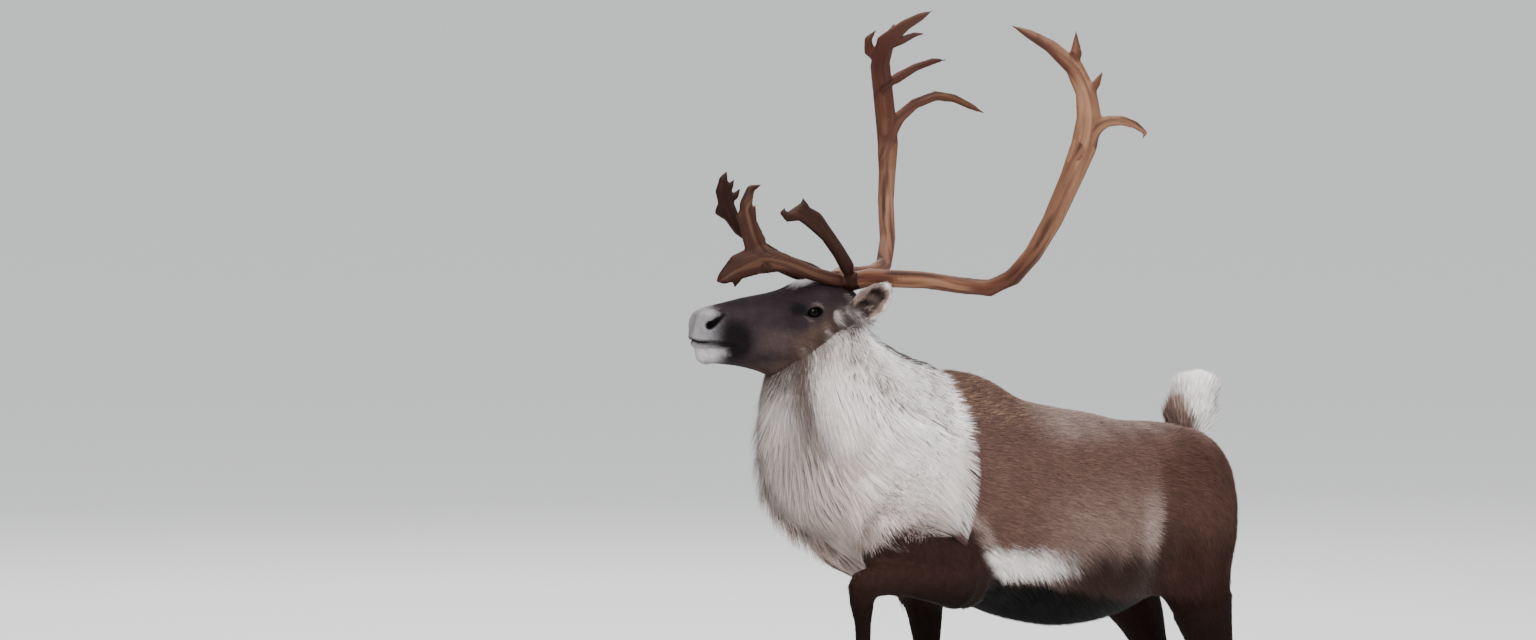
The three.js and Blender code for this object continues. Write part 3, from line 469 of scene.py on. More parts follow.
def head_colours(points):
    """Colours of skin and coat on the head."""
    x, y, z = to_head(points).T
    side = np.abs(y)
    mirrored = np.stack([x, side, z], axis=1)
    fine = wobble(points, 13, 4)
    rough = wobble(points, 42, 5)
    grain = wobble(points, 5, 6)
    coat = Paint("face", len(points))
    cheek = np.hypot((x + 178) / 70, (z + 128) / 34)
    coat.lay("cheek", step(cheek + 0.25 * rough, 1.25, 0.4) * step(side, 30, 50) * 0.9)
    coat.lay("bridge", step(z + 4 * fine, -64, -42) * step(x, -70, -120) * 0.8)
    coat.lay("bridge", step(np.hypot(x + 150, z + 62), 62, 22) * 0.6)
    away = behind_jaw(x, z)
    lower = step(z, -40, -90)
    jaw = step(z + 6 * rough, -168, -196) * step(x, -275, -200)
    coat.lay("throat", np.maximum(jaw * 0.6, step(away + 12 * rough, -74, -26) * lower))
    pale = step(away + 12 * rough + 9 * fine, -30, 16) * lower * step(z + 6 * rough, -158, -118)
    coat.lay("cream", pale)
    muzzle = step(x + 0.16 * (z + 100) + 5 * fine, -296, -346)
    coat.lay("nose", muzzle)
    # Pale hair of the muzzle, laid strongest on its front and top as a painted highlight.
    front = step(x + 5 * rough + 4 * fine, -334, -372) * step(z, -62, -84)
    coat.lay("chin", front * 0.6)
    upper = step(z, -84, -62) * step(x + 5 * fine, -316, -346)
    coat.lay("chin", upper * 0.5)
    groove = step(side, 18, 5) * step(x, -345, -364) * step(z, -130, -108)
    coat.lay("nose", groove * 0.5)
    dark = step(np.hypot(x + 282, (z + 126) / 1.15), 54, 24)
    coat.lay("lip", dark * 0.9)
    chin = step(x + 6 * fine, -290, -338) * step(z, -136, -148) * step(z + 4 * fine, -186, -158)
    coat.lay("chin", chin * 0.9)
    coat.lay("lip", step(mouth_distance(mirrored), 8, 3.5) * step(x, -266, -290) * 0.7)
    tuft = np.hypot((x + 116) / 30, side / 36)
    coat.lay("chin", step(tuft + 0.2 * fine, 1.1, 0.6) * step(z, -24, -10) * 0.85)
    ear_foot = np.hypot((x + 30) / 0.8, z + 100) + 5 * fine
    coat.lay("bridge", step(ear_foot, 44, 26) * step(side, 50, 60) * 0.9)
    coat.lay("rim", step(np.hypot(x + 54, (z + 76) / 1.6), 11, 5) * step(side, 50, 60) * 0.4)
    coat.colour *= (1 + 0.1 * rough + 0.1 * fine + 0.1 * grain)[:, None]
    p, q = x - EYE[0], z - EYE[2]
    beside = side > 45
    fold = np.hypot(p, q * 1.2)
    duct = np.hypot((p + 36 + 3 * fine) / 18, (q - 8) / 15)
    coat.lay("lip", step(duct, 1.4, 0.5) * beside * 0.9)
    upper, lower = step(q, 4, 14) * step(p, -14, 8), step(-q, 4, 12) * step(-p, -4, 10)
    arc = step(np.abs(fold - 23 + 2 * fine), 6, 1) * (0.9 * upper + 0.6 * lower)
    coat.lay("lid", arc * beside * 0.45)
    coat.lay("skin", step(eye_opening(p, q), 1.3, 1.12) * beside)
    corner = np.hypot((p + 18) / 7, (q + 4) / 3)
    coat.lay("skin", step(corner, 1.3, 0.7) * beside)
    # Near-black in the nostril's slit and between the lips: their dark skin, and painted shade inside the
    # openings.
    slit = nostril_distance(mirrored) + 0.14 * (x + 330)
    coat.lay("skin", step(slit, 8, 4.5))
    thin = 2.0 * step(x, -356, -338)
    coat.lay("skin", step(mouth_distance(mirrored) + thin, 3.2, 1.4) * step(x, -262, -280))
    return coat.colour


def behind_jaw(x, z):
    """How far places on the head lie behind the line from the ear's foot to the throat."""
    return ((x + 44) * 120 - (z + 110) * 114) / 165


def eye_opening(p, q):
    """1 on the edge of the lids, less inside the eye's almond, more outside it."""
    return np.hypot(p / 16.0, (q - 0.1 * p) / np.where(q > 0, 10.6, 9.4))


def ear_place(local):
    """Places on an ear along it and across it, with its length's and its hollow's directions."""
    out = np.sign(local[:, 1])
    along = unit(np.stack([np.full(len(out), 48.0), 72 * out, np.full(len(out), 72.0)], axis=1))
    opens = np.stack([np.full(len(out), -0.45), 0.89 * out, np.full(len(out), -0.1)], axis=1)
    opens = across(opens, along)
    offset = local - np.stack([np.full(len(out), -8.0), 70 * out, np.full(len(out), -78.0)], axis=1)
    wide = np.cross(along, opens)
    return np.sum(offset * along, axis=1), np.sum(offset * wide, axis=1), along, opens


def ear_share(local):
    """1 on an ear, 0 on the head."""
    length, width, _, _ = ear_place(local)
    return step(length, 12, 26) * step(np.abs(width), 60, 50) * (np.abs(local[:, 1]) > 60)


def ear_colours(points, normals):
    """Colours of the ears: pale rim, mottled hollow, grey-brown back."""
    local = to_head(points)
    length, width, _, opens = ear_place(local)
    streak = wobble(np.stack([width, 0.3 * length, 0 * width], axis=1), 9, 7)
    rough = wobble(points, 34, 8)
    half = np.interp(length, [0, 30, 62, 92, 112, 122], [22, 35, 37, 28, 14, 3])
    facing = np.sum((normals @ HEAD_AXES.T) * opens, axis=1)
    coat = Paint("ear", len(points))
    hollow = step(facing, 0.0, 0.3)
    coat.lay("hollow", hollow * 0.8)
    middle = step(np.abs(width) / half + 0.12 * streak, 0.74, 0.38) * step(length, 110, 90)
    coat.lay("shade", hollow * middle * (0.85 + 0.2 * rough))
    coat.lay("hollow", hollow * step(streak, 0.3, 1.0) * step(length, 80, 50) * 0.6)
    coat.lay("shade", hollow * step(length, 40, 16) * 0.7)
    rim = step(np.abs(width) / half + 0.05 * streak, 0.76, 0.95) * step(length, 14, 34)
    rim = np.maximum(rim, step(length, 102, 114))
    coat.lay("rim", rim * 0.85 * step(facing, -0.7, -0.2))
    return coat.colour


NOSTRIL = [(-344, 38, -92), (-336, 45, -89), (-324, 50, -80), (-306, 55, -69)]


def mouth_distance(place):
    """How far places on one side of the head lie above or below the line of the lips."""
    x, z = place[:, 0], place[:, 2]
    level = np.interp(x, [-378, -364, -340, -300, -268], [-127, -128, -128, -134, -140])
    level = level + 4 * np.exp(-((place[:, 1] / 14) ** 2))
    return np.hypot(z - level, (x + 262).clip(0))


def nostril_distance(place):
    """How far places on one side of the head lie from the slit of the nostril."""
    flat = np.array(NOSTRIL, float) * (1, 0, 1)
    return line_distance(place * (1, 0, 1), flat) + (19 - place[:, 1]).clip(0)


def line_distance(points, line):
    """Distance of points from a line through places."""
    line = np.array(line, float)
    best = np.full(len(points), 1e9)
    for a, b in zip(line[:-1], line[1:]):
        along = b - a
        share = np.clip((points - a) @ along / (along @ along), 0, 1)
        away = np.linalg.norm(points - (a + share[:, None] * along), axis=1)
        best = np.minimum(best, away)
    return best


def lie_of_coat(points, normals):
    """The way the hair lies on the trunk, neck and legs."""
    x, _, z = points.T
    near = near_legs(points)
    flow = np.stack([np.ones(len(x)), np.zeros(len(x)), -0.35 * step(z, 1120, 950)], axis=1)
    rump = step(x, 560, 740)
    flow[:, 2] -= 1.4 * rump
    flow[:, 0] -= 0.6 * rump
    flow[:, 2] -= 0.9 * step(x, -60, -200)
    flow[:, 2] -= 0.8 * step(z, 830, 760)
    limb = np.maximum(leg_share(near), 0.6 * step(near["ratio"], 1.3, 0.9) * step(z, 900, 800))
    flow = flow * (1 - limb)[:, None] + near["way"] * limb[:, None]
    flow += 0.1 * np.stack([wobble(points, 70, 11), wobble(points, 90, 12), wobble(points, 80, 13)], 1)
    return across(flow, normals)


def lie_on_head(points, normals):
    """The way the hair lies on the head: from the nose to the ears, round the eyes."""
    local = to_head(points)
    flow = np.tile([1.0, 0.0, -0.12], (len(points), 1))
    for out in SIDES.values():
        away = local - EYE * (1, out, 1)
        near = np.exp(-((away[:, 0] / 45) ** 2) - (away[:, 2] / 35) ** 2) * (away[:, 1] * out > -25)
        flow[:, 2] += 0.9 * near * np.sign(away[:, 2])
    flow[:, 2] -= 0.8 * step(local[:, 2], -130, -180)
    away = behind_jaw(local[:, 0], local[:, 2])
    flow[:, 2] -= 1.1 * step(away, -60, 0) * step(local[:, 2], -50, -90)
    return across(flow @ HEAD_AXES, normals)


# Meshes


def mesh_object(name, mesh):
    obj = bpy.data.objects.new(name, mesh)
    bpy.context.scene.collection.objects.link(obj)
    return obj


def object_from(bm, name):
    mesh = bpy.data.meshes.new(name)
    bm.to_mesh(mesh)
    bm.free()
    return mesh_object(name, mesh)


def coordinates(mesh):
    co = np.zeros(len(mesh.vertices) * 3, np.float32)
    mesh.vertices.foreach_get("co", co)
    return co.reshape(-1, 3).astype(float)


def set_coordinates(mesh, co):
    mesh.vertices.foreach_set("co", np.asarray(co, np.float32).ravel())
    mesh.update()


def normals_of(mesh):
    normals = np.zeros(len(mesh.vertices) * 3, np.float32)
    mesh.vertex_normals.foreach_get("vector", normals)
    return normals.reshape(-1, 3).astype(float)


def add_form(bm, stations, around, rings, inset=None):
    """A closed body along stations, in the frame's metres."""
    made = bmesh.ops.create_uvsphere(bm, u_segments=around, v_segments=rings, radius=1)["verts"]
    ball = np.array([v.co for v in made])
    t = np.arccos(np.clip(ball[:, 2], -1, 1)) / math.pi
    angle = np.arctan2(ball[:, 1], ball[:, 0])
    out = -inset(t, angle) if inset else np.zeros(len(t))
    places = on_form(stations, t, angle, out)
    pole = np.hypot(ball[:, 0], ball[:, 1]) < 1e-6
    places[pole] = curve(stations, t[pole])[:, 0:3]
    for vert, place in zip(made, to_row(places)):
        vert.co = place
    faces = list({face for vert in made for face in vert.link_faces})
    bmesh.ops.recalc_face_normals(bm, faces=faces)


def add_ball(bm, centre, radii, pitch=0.0):
    """A stretched ball of flesh, tilted by its pitch."""
    made = bmesh.ops.create_icosphere(bm, subdivisions=4, radius=1)["verts"]
    place = Matrix.Translation(to_row(centre)) @ Matrix.Rotation(pitch, 4, "Y")
    bmesh.ops.transform(bm, matrix=place @ Matrix.Diagonal((*[r * MM for r in radii], 1)), verts=made)


def add_claw_root(bm, name):
    """Flesh between a leg and the top of a dewclaw, so that the claw grows out of it."""
    claw = to_bull(coordinates(CAD[name].data))
    away = near_legs(claw)["away"]
    gap = np.linalg.norm(away, axis=1)
    close = gap < gap.min() + 14
    root, reach = claw[close].mean(axis=0), away[close].mean(axis=0)
    add_ball(bm, root - 0.2 * reach, (16, 16, 19))
    add_ball(bm, root - 0.55 * reach, (18, 18, 22))


def add_copies(bm, names, swell):
    """Copies of CAD nodes, each merged by distance and swollen a little so that they fuse."""
    for name in names:
        piece = bmesh.new()
        piece.from_mesh(CAD[name].data)
        bmesh.ops.remove_doubles(piece, verts=piece.verts, dist=1e-5)
        piece.normal_update()
        for vert in piece.verts:
            vert.co += vert.normal * swell
        spare = bpy.data.meshes.new("spare")
        piece.to_mesh(spare)
        piece.free()
        bm.from_mesh(spare)
        bpy.data.meshes.remove(spare)


def fused(bm, name, size):
    """One closed surface round everything in a bmesh, in squares of about that size."""
    rough = object_from(bm, name)
    remesh = rough.modifiers.new("Fuse", "REMESH")
    remesh.mode = "VOXEL"
    remesh.voxel_size = size
    shown = rough.evaluated_get(bpy.context.evaluated_depsgraph_get())
    mesh = bpy.data.meshes.new_from_object(shown)
    mesh.name = name
    old = rough.data
    bpy.data.objects.remove(rough)
    bpy.data.meshes.remove(old)
    return mesh


def edges_of(mesh):
    edges = np.zeros(len(mesh.edges) * 2, np.int32)
    mesh.edges.foreach_get("vertices", edges)
    return edges.reshape(-1, 2)


def relaxed(values, edges, share, rounds):
    """Values moved towards the mean of their neighbours, by each one's share."""
    values = values.copy()
    first, second = edges.T
    count = len(values)
    links = np.bincount(edges.ravel(), minlength=count).clip(1)
    for _ in range(rounds):
        for k in range(values.shape[1]):
            mean = np.bincount(first, values[second, k], count)
            mean += np.bincount(second, values[first, k], count)
            values[:, k] += share * (mean / links - values[:, k])
    return values


def paint(mesh, name, colours):
    attribute = mesh.attributes.new(name, "FLOAT_COLOR", "POINT")
    rgba = np.ones((len(colours), 4), np.float32)
    rgba[:, :3] = colours
    attribute.data.foreach_set("color", rgba.ravel())


def finish_piece(obj, material, smooth=True):
    """Sets a piece's finish and slot and lets it ride on the body."""
    obj.data.materials.clear()
    obj.data.materials.append(material)
    if smooth:
        obj.data.polygons.foreach_set("use_smooth", np.ones(len(obj.data.polygons), bool))
    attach(obj, "root")


# Materials


def add_node(tree, kind, links=None, **settings):
    """A node with its settings, its sockets' values and its links."""
    node = tree.nodes.new(kind)
    for key, value in settings.items():
        if key in node.inputs:
            node.inputs[key].default_value = value
        else:
            setattr(node, key, value)
    for socket, source in (links or {}).items():
        tree.links.new(source, node.inputs[socket])
    return node


def new_material(name):
    material = bpy.data.materials.new(name)
    material.use_nodes = True
    tree = material.node_tree
    tree.nodes.clear()
    return material, tree


def surface(tree, links, **values):
    """The Principled surface of a material, with its output."""
    shader = add_node(tree, "ShaderNodeBsdfPrincipled", links)
    for socket, value in values.items():
        shader.inputs[socket.replace("_", " ")].default_value = value
    add_node(tree, "ShaderNodeOutputMaterial", {"Surface": shader.outputs["BSDF"]})


def painted(tree, name):
    """The colours that a mesh carries under a name."""
    return add_node(tree, "ShaderNodeAttribute", attribute_name=name).outputs["Color"]


def grain_bump(tree, size, detail, roughness, strength, distance):
    """Bumps in grains of about that size."""
    place = add_node(tree, "ShaderNodeTexCoord")
    noise = add_node(
        tree, "ShaderNodeTexNoise", {"Vector": place.outputs["Object"]},
        Scale=1 / size, Detail=detail, Roughness=roughness,
    )
    links = {"Height": noise.outputs["Fac"]}
    bump = add_node(tree, "ShaderNodeBump", links, Strength=strength, Distance=distance)
    return bump.outputs["Normal"]


def hair_material():
    """Guard hair: matt strands with a soft shine along them, coloured strand by strand."""
    material, tree = new_material("Caribou guard hair")
    surface(tree, {"Base Color": painted(tree, "Coat")}, Roughness=0.6, Specular_IOR_Level=0.06)
    return material


def skin_material():
    """Short flat fur on hide: matt, with a fine nap that is all bump."""
    material, tree = new_material("Short fur on hide")
    # Hairs lie in wisps of about 6 mm, so that the nap shows at this size.
    nap = grain_bump(tree, 0.006, detail=3.0, roughness=0.6, strength=0.6, distance=0.002)
    links = {"Base Color": painted(tree, "Coat"), "Normal": nap}
    surface(tree, links, Roughness=0.75, Specular_IOR_Level=0.06)
    return material


def antler_material():
    """Bare antler bone, stained by bark and sap: satin, with grooves that run lengthwise."""
    material, tree = new_material("Antler bone")
    # Pits and pearling of about 3 mm
    pearl = grain_bump(tree, 0.003, detail=2.0, roughness=0.5, strength=0.35, distance=0.0012)
    links = {"Base Color": painted(tree, "Bone"), "Normal": pearl}
    surface(tree, links, Roughness=0.55, Specular_IOR_Level=0.12)
    return material


def eye_material():
    """A wet eye: dark brown under a clear, glossy film."""
    material, tree = new_material("Wet eye")
    surface(
        tree, {"Base Color": painted(tree, "Iris")},
        Roughness=0.15, Specular_IOR_Level=0.03, Coat_Weight=0.06, Coat_Roughness=0.02,
    )
    return material


def hoof_material():
    """Hoof horn: black-brown, satin, with growth rings round it."""
    material, tree = new_material("Hoof horn")
    place = add_node(tree, "ShaderNodeTexCoord")
    # Rings about 20 mm apart
    rings = add_node(
        tree, "ShaderNodeTexWave", {"Vector": place.outputs["Object"]},
        bands_direction="Z", Scale=1 / 0.02 / 3.14, Distortion=2.0,
    )
    ramp = add_node(
        tree, "ShaderNodeMix", {"Factor": rings.outputs["Fac"]}, data_type="RGBA",
    )
    ramp.inputs["A"].default_value = (*linear("#070504"), 1)
    ramp.inputs["B"].default_value = (*linear("#120e0c"), 1)
    surface(tree, {"Base Color": ramp.outputs["Result"]}, Roughness=0.5, Specular_IOR_Level=0.15)
    return material


def floor_material():
    """Pale matt studio floor."""
    material, tree = new_material("Matt studio paint")
    surface(tree, {}, Base_Color=(*linear("#ececea"), 1), Roughness=0.9)
    return material


# Settings


class CaribouSettings(bpy.types.PropertyGroup):
    """Sizes that shape the skin and the coat."""

    skin_mesh: bpy.props.FloatProperty(
        name="Skin mesh", description="Width of the skin's squares", default=0.0084, unit="LENGTH"
    )
    face_mesh: bpy.props.FloatProperty(
        name="Face mesh", description="Width of the face's squares", default=0.0033, unit="LENGTH"
    )
    antler_mesh: bpy.props.FloatProperty(
        name="Antler mesh", description="Width of the antlers' squares", default=0.003, unit="LENGTH"
    )
    body_tufts: bpy.props.IntProperty(
        name="Body tufts", description="Tufts to a square metre of the body", default=68000, min=0
    )
    leg_tufts: bpy.props.IntProperty(
        name="Leg tufts", description="Tufts to a square metre of the legs", default=60000, min=0
    )
    face_tufts: bpy.props.IntProperty(
        name="Face tufts", description="Tufts to a square metre of the face", default=165000, min=0
    )
    mane_strands: bpy.props.IntProperty(
        name="Mane strands", description="Strands in the mane", default=42000, min=0
    )
    hair_length: bpy.props.FloatProperty(
        name="Body hair", description="Length of the hair on the flank", default=0.026, unit="LENGTH"
    )
    mane_length: bpy.props.FloatProperty(
        name="Mane hair", description="Length of the hair of the mane", default=0.12, unit="LENGTH"
    )


class StageSettings(bpy.types.PropertyGroup):
    """The studio round the model."""

    distance: bpy.props.FloatProperty(
        name="Camera distance", description="From the model's middle", default=18.0, unit="LENGTH"
    )
    turn: bpy.props.FloatProperty(
        name="Camera turn", description="Round the model from its left", default=math.radians(-40),
        subtype="ANGLE",
    )
    rise: bpy.props.FloatProperty(
        name="Camera rise", description="Above the horizon", default=math.radians(3), subtype="ANGLE"
    )
    key_power: bpy.props.FloatProperty(
        name="Key light", description="Power of the main light", default=1120.0, unit="POWER"
    )


# Skin


LEG_NODES = [
    f"{leg}_{part}"
    for leg, parts in {
        "foreleg_left": ("upper", "forearm", "cannon"),
        "foreleg_right": ("upper", "forearm", "cannon"),
        "hindleg_left": ("thigh", "gaskin", "cannon"),
        "hindleg_right": ("thigh", "gaskin", "cannon"),
    }.items()
    for part in parts
]
HEAD_NODES = ["head", "ear_left", "ear_right"]

# Swellings and hollows of the head: centre, radii, height in mm, on both sides
FACE_FORMS = [
    ((-95, 62, -130), (52, 30, 42), 5.0), ((-132, 60, -94), (50, 20, 9), 4.0),
    ((-168, 52, -98), (26, 20, 15), -4.5), ((-230, 10, -38), (80, 16, 14), 3.0),
    ((-250, 46, -92), (42, 18, 18), -4.5), ((-175, 40, -172), (64, 22, 9), -3.0),
    ((-335, 10, -172), (20, 22, 12), 3.0), ((-105, 58, -40), (32, 16, 8), 4.0),
    ((-340, 38, -112), (24, 16, 16), 4.0), ((-60, 70, -60), (26, 20, 26), -3.0),
    ((-300, 50, -150), (26, 16, 9), 3.0), ((-40, 60, -150), (26, 24, 40), -4.0),
    ((-380, 8, -104), (22, 20, 20), 3.5), ((-366, 42, -104), (20, 14, 20), -3.0),
    ((-372, 0, -80), (20, 9, 26), -1.6), ((-362, 34, -156), (20, 16, 16), -3.5),
]


def coat_depth(points):
    """How far the skin lies under the tips of the short coat, in mm."""
    leg = leg_share(near_legs(points))
    return 8 * (1 - leg) + 2.5 * leg


def body_skin(settings):
    bm = bmesh.new()
    add_form(bm, TRUNK, 72, 90)
    add_form(bm, NECK, 72, 60, mane_depth)
    add_form(bm, TAIL, 28, 20, lambda t, angle: np.full(len(t), 16.0))
    for centre, radii, pitch in MUSCLES:
        add_ball(bm, centre, radii, pitch)
    add_copies(bm, LEG_NODES, 0.0006)
    for leg in LEG_LINES:
        add_claw_root(bm, f"{leg}_dewclaw_inner")
        add_claw_root(bm, f"{leg}_dewclaw_outer")
    mesh = fused(bm, "body", settings.skin_mesh)
    co = to_bull(coordinates(mesh))
    edges = edges_of(mesh)
    co = relaxed(co, edges, 0.5, 2)
    slender = leg_share(near_legs(co))
    co = relaxed(co, edges, 0.5 * (1 - slender), 20)
    set_coordinates(mesh, to_row(co))
    tail = step(co[:, 2], 1075, 1090) * step(co[:, 0], 640, 680)
    depth = coat_depth(co) * (1 - np.maximum(mane_share(co), tail))
    co -= normals_of(mesh) * depth[:, None]
    set_coordinates(mesh, to_row(co))
    return mesh


def refine(mesh, chosen, cuts):
    """Cuts the squares between chosen points finer."""
    bm = bmesh.new()
    bm.from_mesh(mesh)
    marked = np.flatnonzero(chosen(to_head(to_bull(coordinates(mesh)))))
    marked = set(marked.tolist())
    edges = [e for e in bm.edges if e.verts[0].index in marked and e.verts[1].index in marked]
    bmesh.ops.subdivide_edges(bm, edges=edges, cuts=cuts, use_grid_fill=True)
    bm.to_mesh(mesh)
    bm.free()


def mirror(local):
    """Places on the head with those of both sides laid on one."""
    return local * (1, 0, 1) + np.abs(local) * (0, 1, 0)


def near_eye(local):
    place = mirror(local) - EYE
    return (np.hypot(place[:, 0], place[:, 2]) < 30) & (place[:, 1] > -22)


def near_lips(local):
    place = mirror(local)
    return (nostril_distance(place) < 15) | (mouth_distance(place) < 7) & (place[:, 0] < -262)


def with_eyelids(local):
    """Shapes the lids as a thin cover on the eyeball, open along the eye's almond."""
    side = np.abs(local[:, 1])
    p, q = local[:, 0] - EYE[0], local[:, 2] - EYE[2]
    far = np.hypot(p, q)
    beside = (side > 44) & (far < 30)
    ball = np.sqrt((EYE_RADIUS**2 - far**2).clip(0))
    cover = EYE[1] + np.sqrt(((EYE_RADIUS + 2.4) ** 2 - far**2).clip(0))
    opening = eye_opening(p, q)
    lid = np.where(opening < 1, EYE[1] + ball - 2.2, np.maximum(cover, side))
    lid -= 1.0 * np.exp(-(((opening - 1.75) / 0.16) ** 2)) * (opening > 1)
    lid += 0.7 * np.exp(-(((opening - 1.25) / 0.2) ** 2)) * (opening > 1)
    share = step(far, 27, 20) * beside
    side = side * (1 - share) + lid * share
    return np.stack([local[:, 0], np.sign(local[:, 1]) * side, local[:, 2]], axis=1)


def head_skin(settings):
    bm = bmesh.new()
    add_copies(bm, HEAD_NODES, 0.0004)
    for out in SIDES.values():
        add_ball(bm, from_head(EYE * (1, out, 1)), [EYE_RADIUS + 1.2] * 3)
    mesh = fused(bm, "head", settings.face_mesh)
    local = to_head(to_bull(coordinates(mesh)))
    edges = edges_of(mesh)
    place = mirror(local)
    nose, mouth = nostril_distance(place), mouth_distance(place)
    ear = ear_share(local)
    local = relaxed(local, edges, 0.5, 2)
    plain = step(nose, 9, 22) * step(mouth, 5, 14) * (1 - 0.85 * ear)
    local = relaxed(local, edges, 0.5 * plain, 22)
    set_coordinates(mesh, to_row(from_head(local)))
    normals = normals_of(mesh) @ HEAD_AXES.T
    base = local.copy()
    for centre, radii, height in FACE_FORMS:
        for out in SIDES.values():
            away = (base - np.array(centre) * (1, out, 1)) / radii
            local += normals * (height * np.exp(-np.sum(away**2, axis=1)))[:, None]
    place = mirror(local)
    nose, mouth = nostril_distance(place), mouth_distance(place)
    parted = 1.4 + 2.8 * step(local[:, 0], -326, -350)
    lips = 1.4 * np.exp(-(((mouth - 9) / 5) ** 2)) - parted * np.exp(-((mouth / 3.4) ** 2))
    flare = 2.2 * np.exp(-(((nose - 14) / 5) ** 2)) - 4.0 * np.exp(-((nose / 5) ** 2))
    local += normals * ((lips * step(local[:, 0], -262, -296)) + flare)[:, None]
    depth = 1.6 * step(nose, 6, 20) * step(mouth, 4, 14) * (1 - 0.6 * ear)
    local -= normals * depth[:, None]
    set_coordinates(mesh, to_row(from_head(local)))
    refine(mesh, near_lips, 1)
    refine(mesh, near_eye, 3)
    local = to_head(to_bull(coordinates(mesh)))
    local = relaxed(local, edges_of(mesh), 0.5 * near_eye(local), 3)
    local = with_eyelids(local)
    soft = np.abs(eye_opening(local[:, 0] - EYE[0], local[:, 2] - EYE[2]) - 1) > 0.3
    local = relaxed(local, edges_of(mesh), 0.4 * (near_eye(local) & soft), 2)
    set_coordinates(mesh, to_row(from_head(local)))
    return mesh


def mark_part(mesh, number):
    attribute = mesh.attributes.new("Part", "INT", "POINT")
    attribute.data.foreach_set("value", np.full(len(mesh.vertices), number, np.int32))


def face_and_ears(points, normals):
    """Colours of the head with its ears."""
    ear = ear_share(to_head(points))[:, None]
    return head_colours(points) * (1 - ear) + ear_colours(points, normals) * ear


class CARIBOU_OT_skin(bpy.types.Operator):
    """Fuses trunk, neck, legs, tail, head and ears in one painted skin"""

    bl_idname = "caribou.skin"
    bl_label = "Skin"

    def execute(self, context):
        settings = context.scene.caribou
        bm = bmesh.new()
        for number, mesh in enumerate((body_skin(settings), head_skin(settings))):
            mark_part(mesh, number)
            bm.from_mesh(mesh)
            bpy.data.meshes.remove(mesh)
        obj = object_from(bm, "skin")
        points = to_bull(coordinates(obj.data))
        head = parts_of(obj.data) == 1
        colours = np.zeros((len(points), 3))
        colours[head] = face_and_ears(points[head], normals_of(obj.data)[head])
        colours[~head] = body_colours(points[~head])
        # Painted shade: the skin darker than the hair that covers it.
        paint(obj.data, "Coat", colours * PAINTED_SKIN_SHADE)
        finish_piece(obj, skin_material())
        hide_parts("torso", "neck", "tail", *HEAD_NODES, *LEG_NODES)
        return {"FINISHED"}


def parts_of(mesh):
    values = np.zeros(len(mesh.vertices), np.int32)
    mesh.attributes["Part"].data.foreach_get("value", values)
    return values


# Antlers


# Lines down the middle of each antler's stems: back, out and up from the poll
ANTLER_LINES = {
    "left": {
        "beam": [
            (-12, 38, -30), (-7, 50, -2), (24, 82, 8), (110, 190, 6), (167, 250, -4), (211, 305, -8),
            (244, 354, 18), (272, 395, 69), (296, 440, 142), (322, 480, 235), (346, 495, 306),
            (358, 495, 366), (358, 480, 420), (345, 450, 474), (306, 410, 521), (271, 375, 547),
            (238, 338, 569),
        ],
        "rear": [(330, 492, 285), (380, 499, 350), (433, 505, 360), (492, 502, 332)],
        "brow": [
            (-5, 50, -8), (-40, 50, 2), (-100, 45, 19), (-163, 35, 43), (-215, 24, 52), (-262, 12, 34),
            (-310, 1, 1),
        ],
        "shovel": [(-200, 26, 40), (-222, 20, 82), (-238, 15, 130), (-243, 13, 172), (-198, 10, 216)],
        "bez": [
            (-8, 58, -6), (-23, 68, 32), (-51, 85, 66), (-89, 105, 105), (-125, 120, 137),
            (-165, 130, 158), (-203, 135, 170),
        ],
    },
    "right": {
        "beam": [
            (-6, 38, -28), (2, 50, 2), (30, 82, 8), (110, 165, 4), (172, 225, 4), (228, 285, 16),
            (268, 350, 72), (298, 425, 157), (320, 465, 222), (331, 485, 285), (325, 485, 345),
            (310, 468, 409), (286, 430, 466), (280, 385, 520), (310, 345, 556), (364, 300, 592),
        ],
        "rear": [(316, 478, 262), (362, 488, 344), (447, 475, 392), (529, 455, 366), (564, 445, 347)],
        "inner": [(300, 456, 408), (338, 456, 432), (383, 450, 457), (461, 420, 476)],
        "brow": [(-4, 48, -6), (-50, 46, 6), (-100, 40, 14), (-150, 33, 32), (-196, 28, 60)],
        "bez": [
            (8, 56, 4), (-44, 84, 22), (-103, 102, 44), (-155, 110, 76), (-205, 111, 112),
            (-234, 108, 157), (-246, 105, 199), (-236, 100, 244),
        ],
    },
}


def nearest_of(places, points):
    """Which of the places is nearest to each point."""
    tree = kdtree.KDTree(len(places))
    for i, place in enumerate(places):
        tree.insert(place, i)
    tree.balance()
    return np.array([tree.find(point)[1] for point in points])


def stem_places(local, side):
    """For points on an antler: length along the nearest stem, angle round it, share of the
    beam's length, and whether the stem is a front tine."""
    middles, tangents, records = [], [], []
    for name, line in ANTLER_LINES[side].items():
        t = np.linspace(0, 1, STEM_STEPS)
        middle = curve(np.array(line, float) * (1, SIDES[side], 1), t)
        run = np.concatenate([[0], np.cumsum(np.linalg.norm(np.diff(middle, axis=0), axis=1))])
        middles.append(middle)
        tangents.append(unit(np.gradient(middle, axis=0)))
        front = {"brow": 0.8, "shovel": 0.8, "bez": 1.0}.get(name, 0.0)
        share = t if name == "beam" else np.full(STEM_STEPS, 0.72)
        records.append(np.stack([run, share, np.full(STEM_STEPS, front)], axis=1))
    middles, tangents, records = (np.concatenate(part) for part in (middles, tangents, records))
    nearest = nearest_of(middles, local)
    way = tangents[nearest]
    first = across(np.tile([0.3, 1.0, 0.4], (len(local), 1)), way)
    second = np.cross(way, first)
    offset = local - middles[nearest]
    angle = np.arctan2(np.sum(offset * second, axis=1), np.sum(offset * first, axis=1))
    run, share, front = records[nearest].T
    return run, angle, share, front


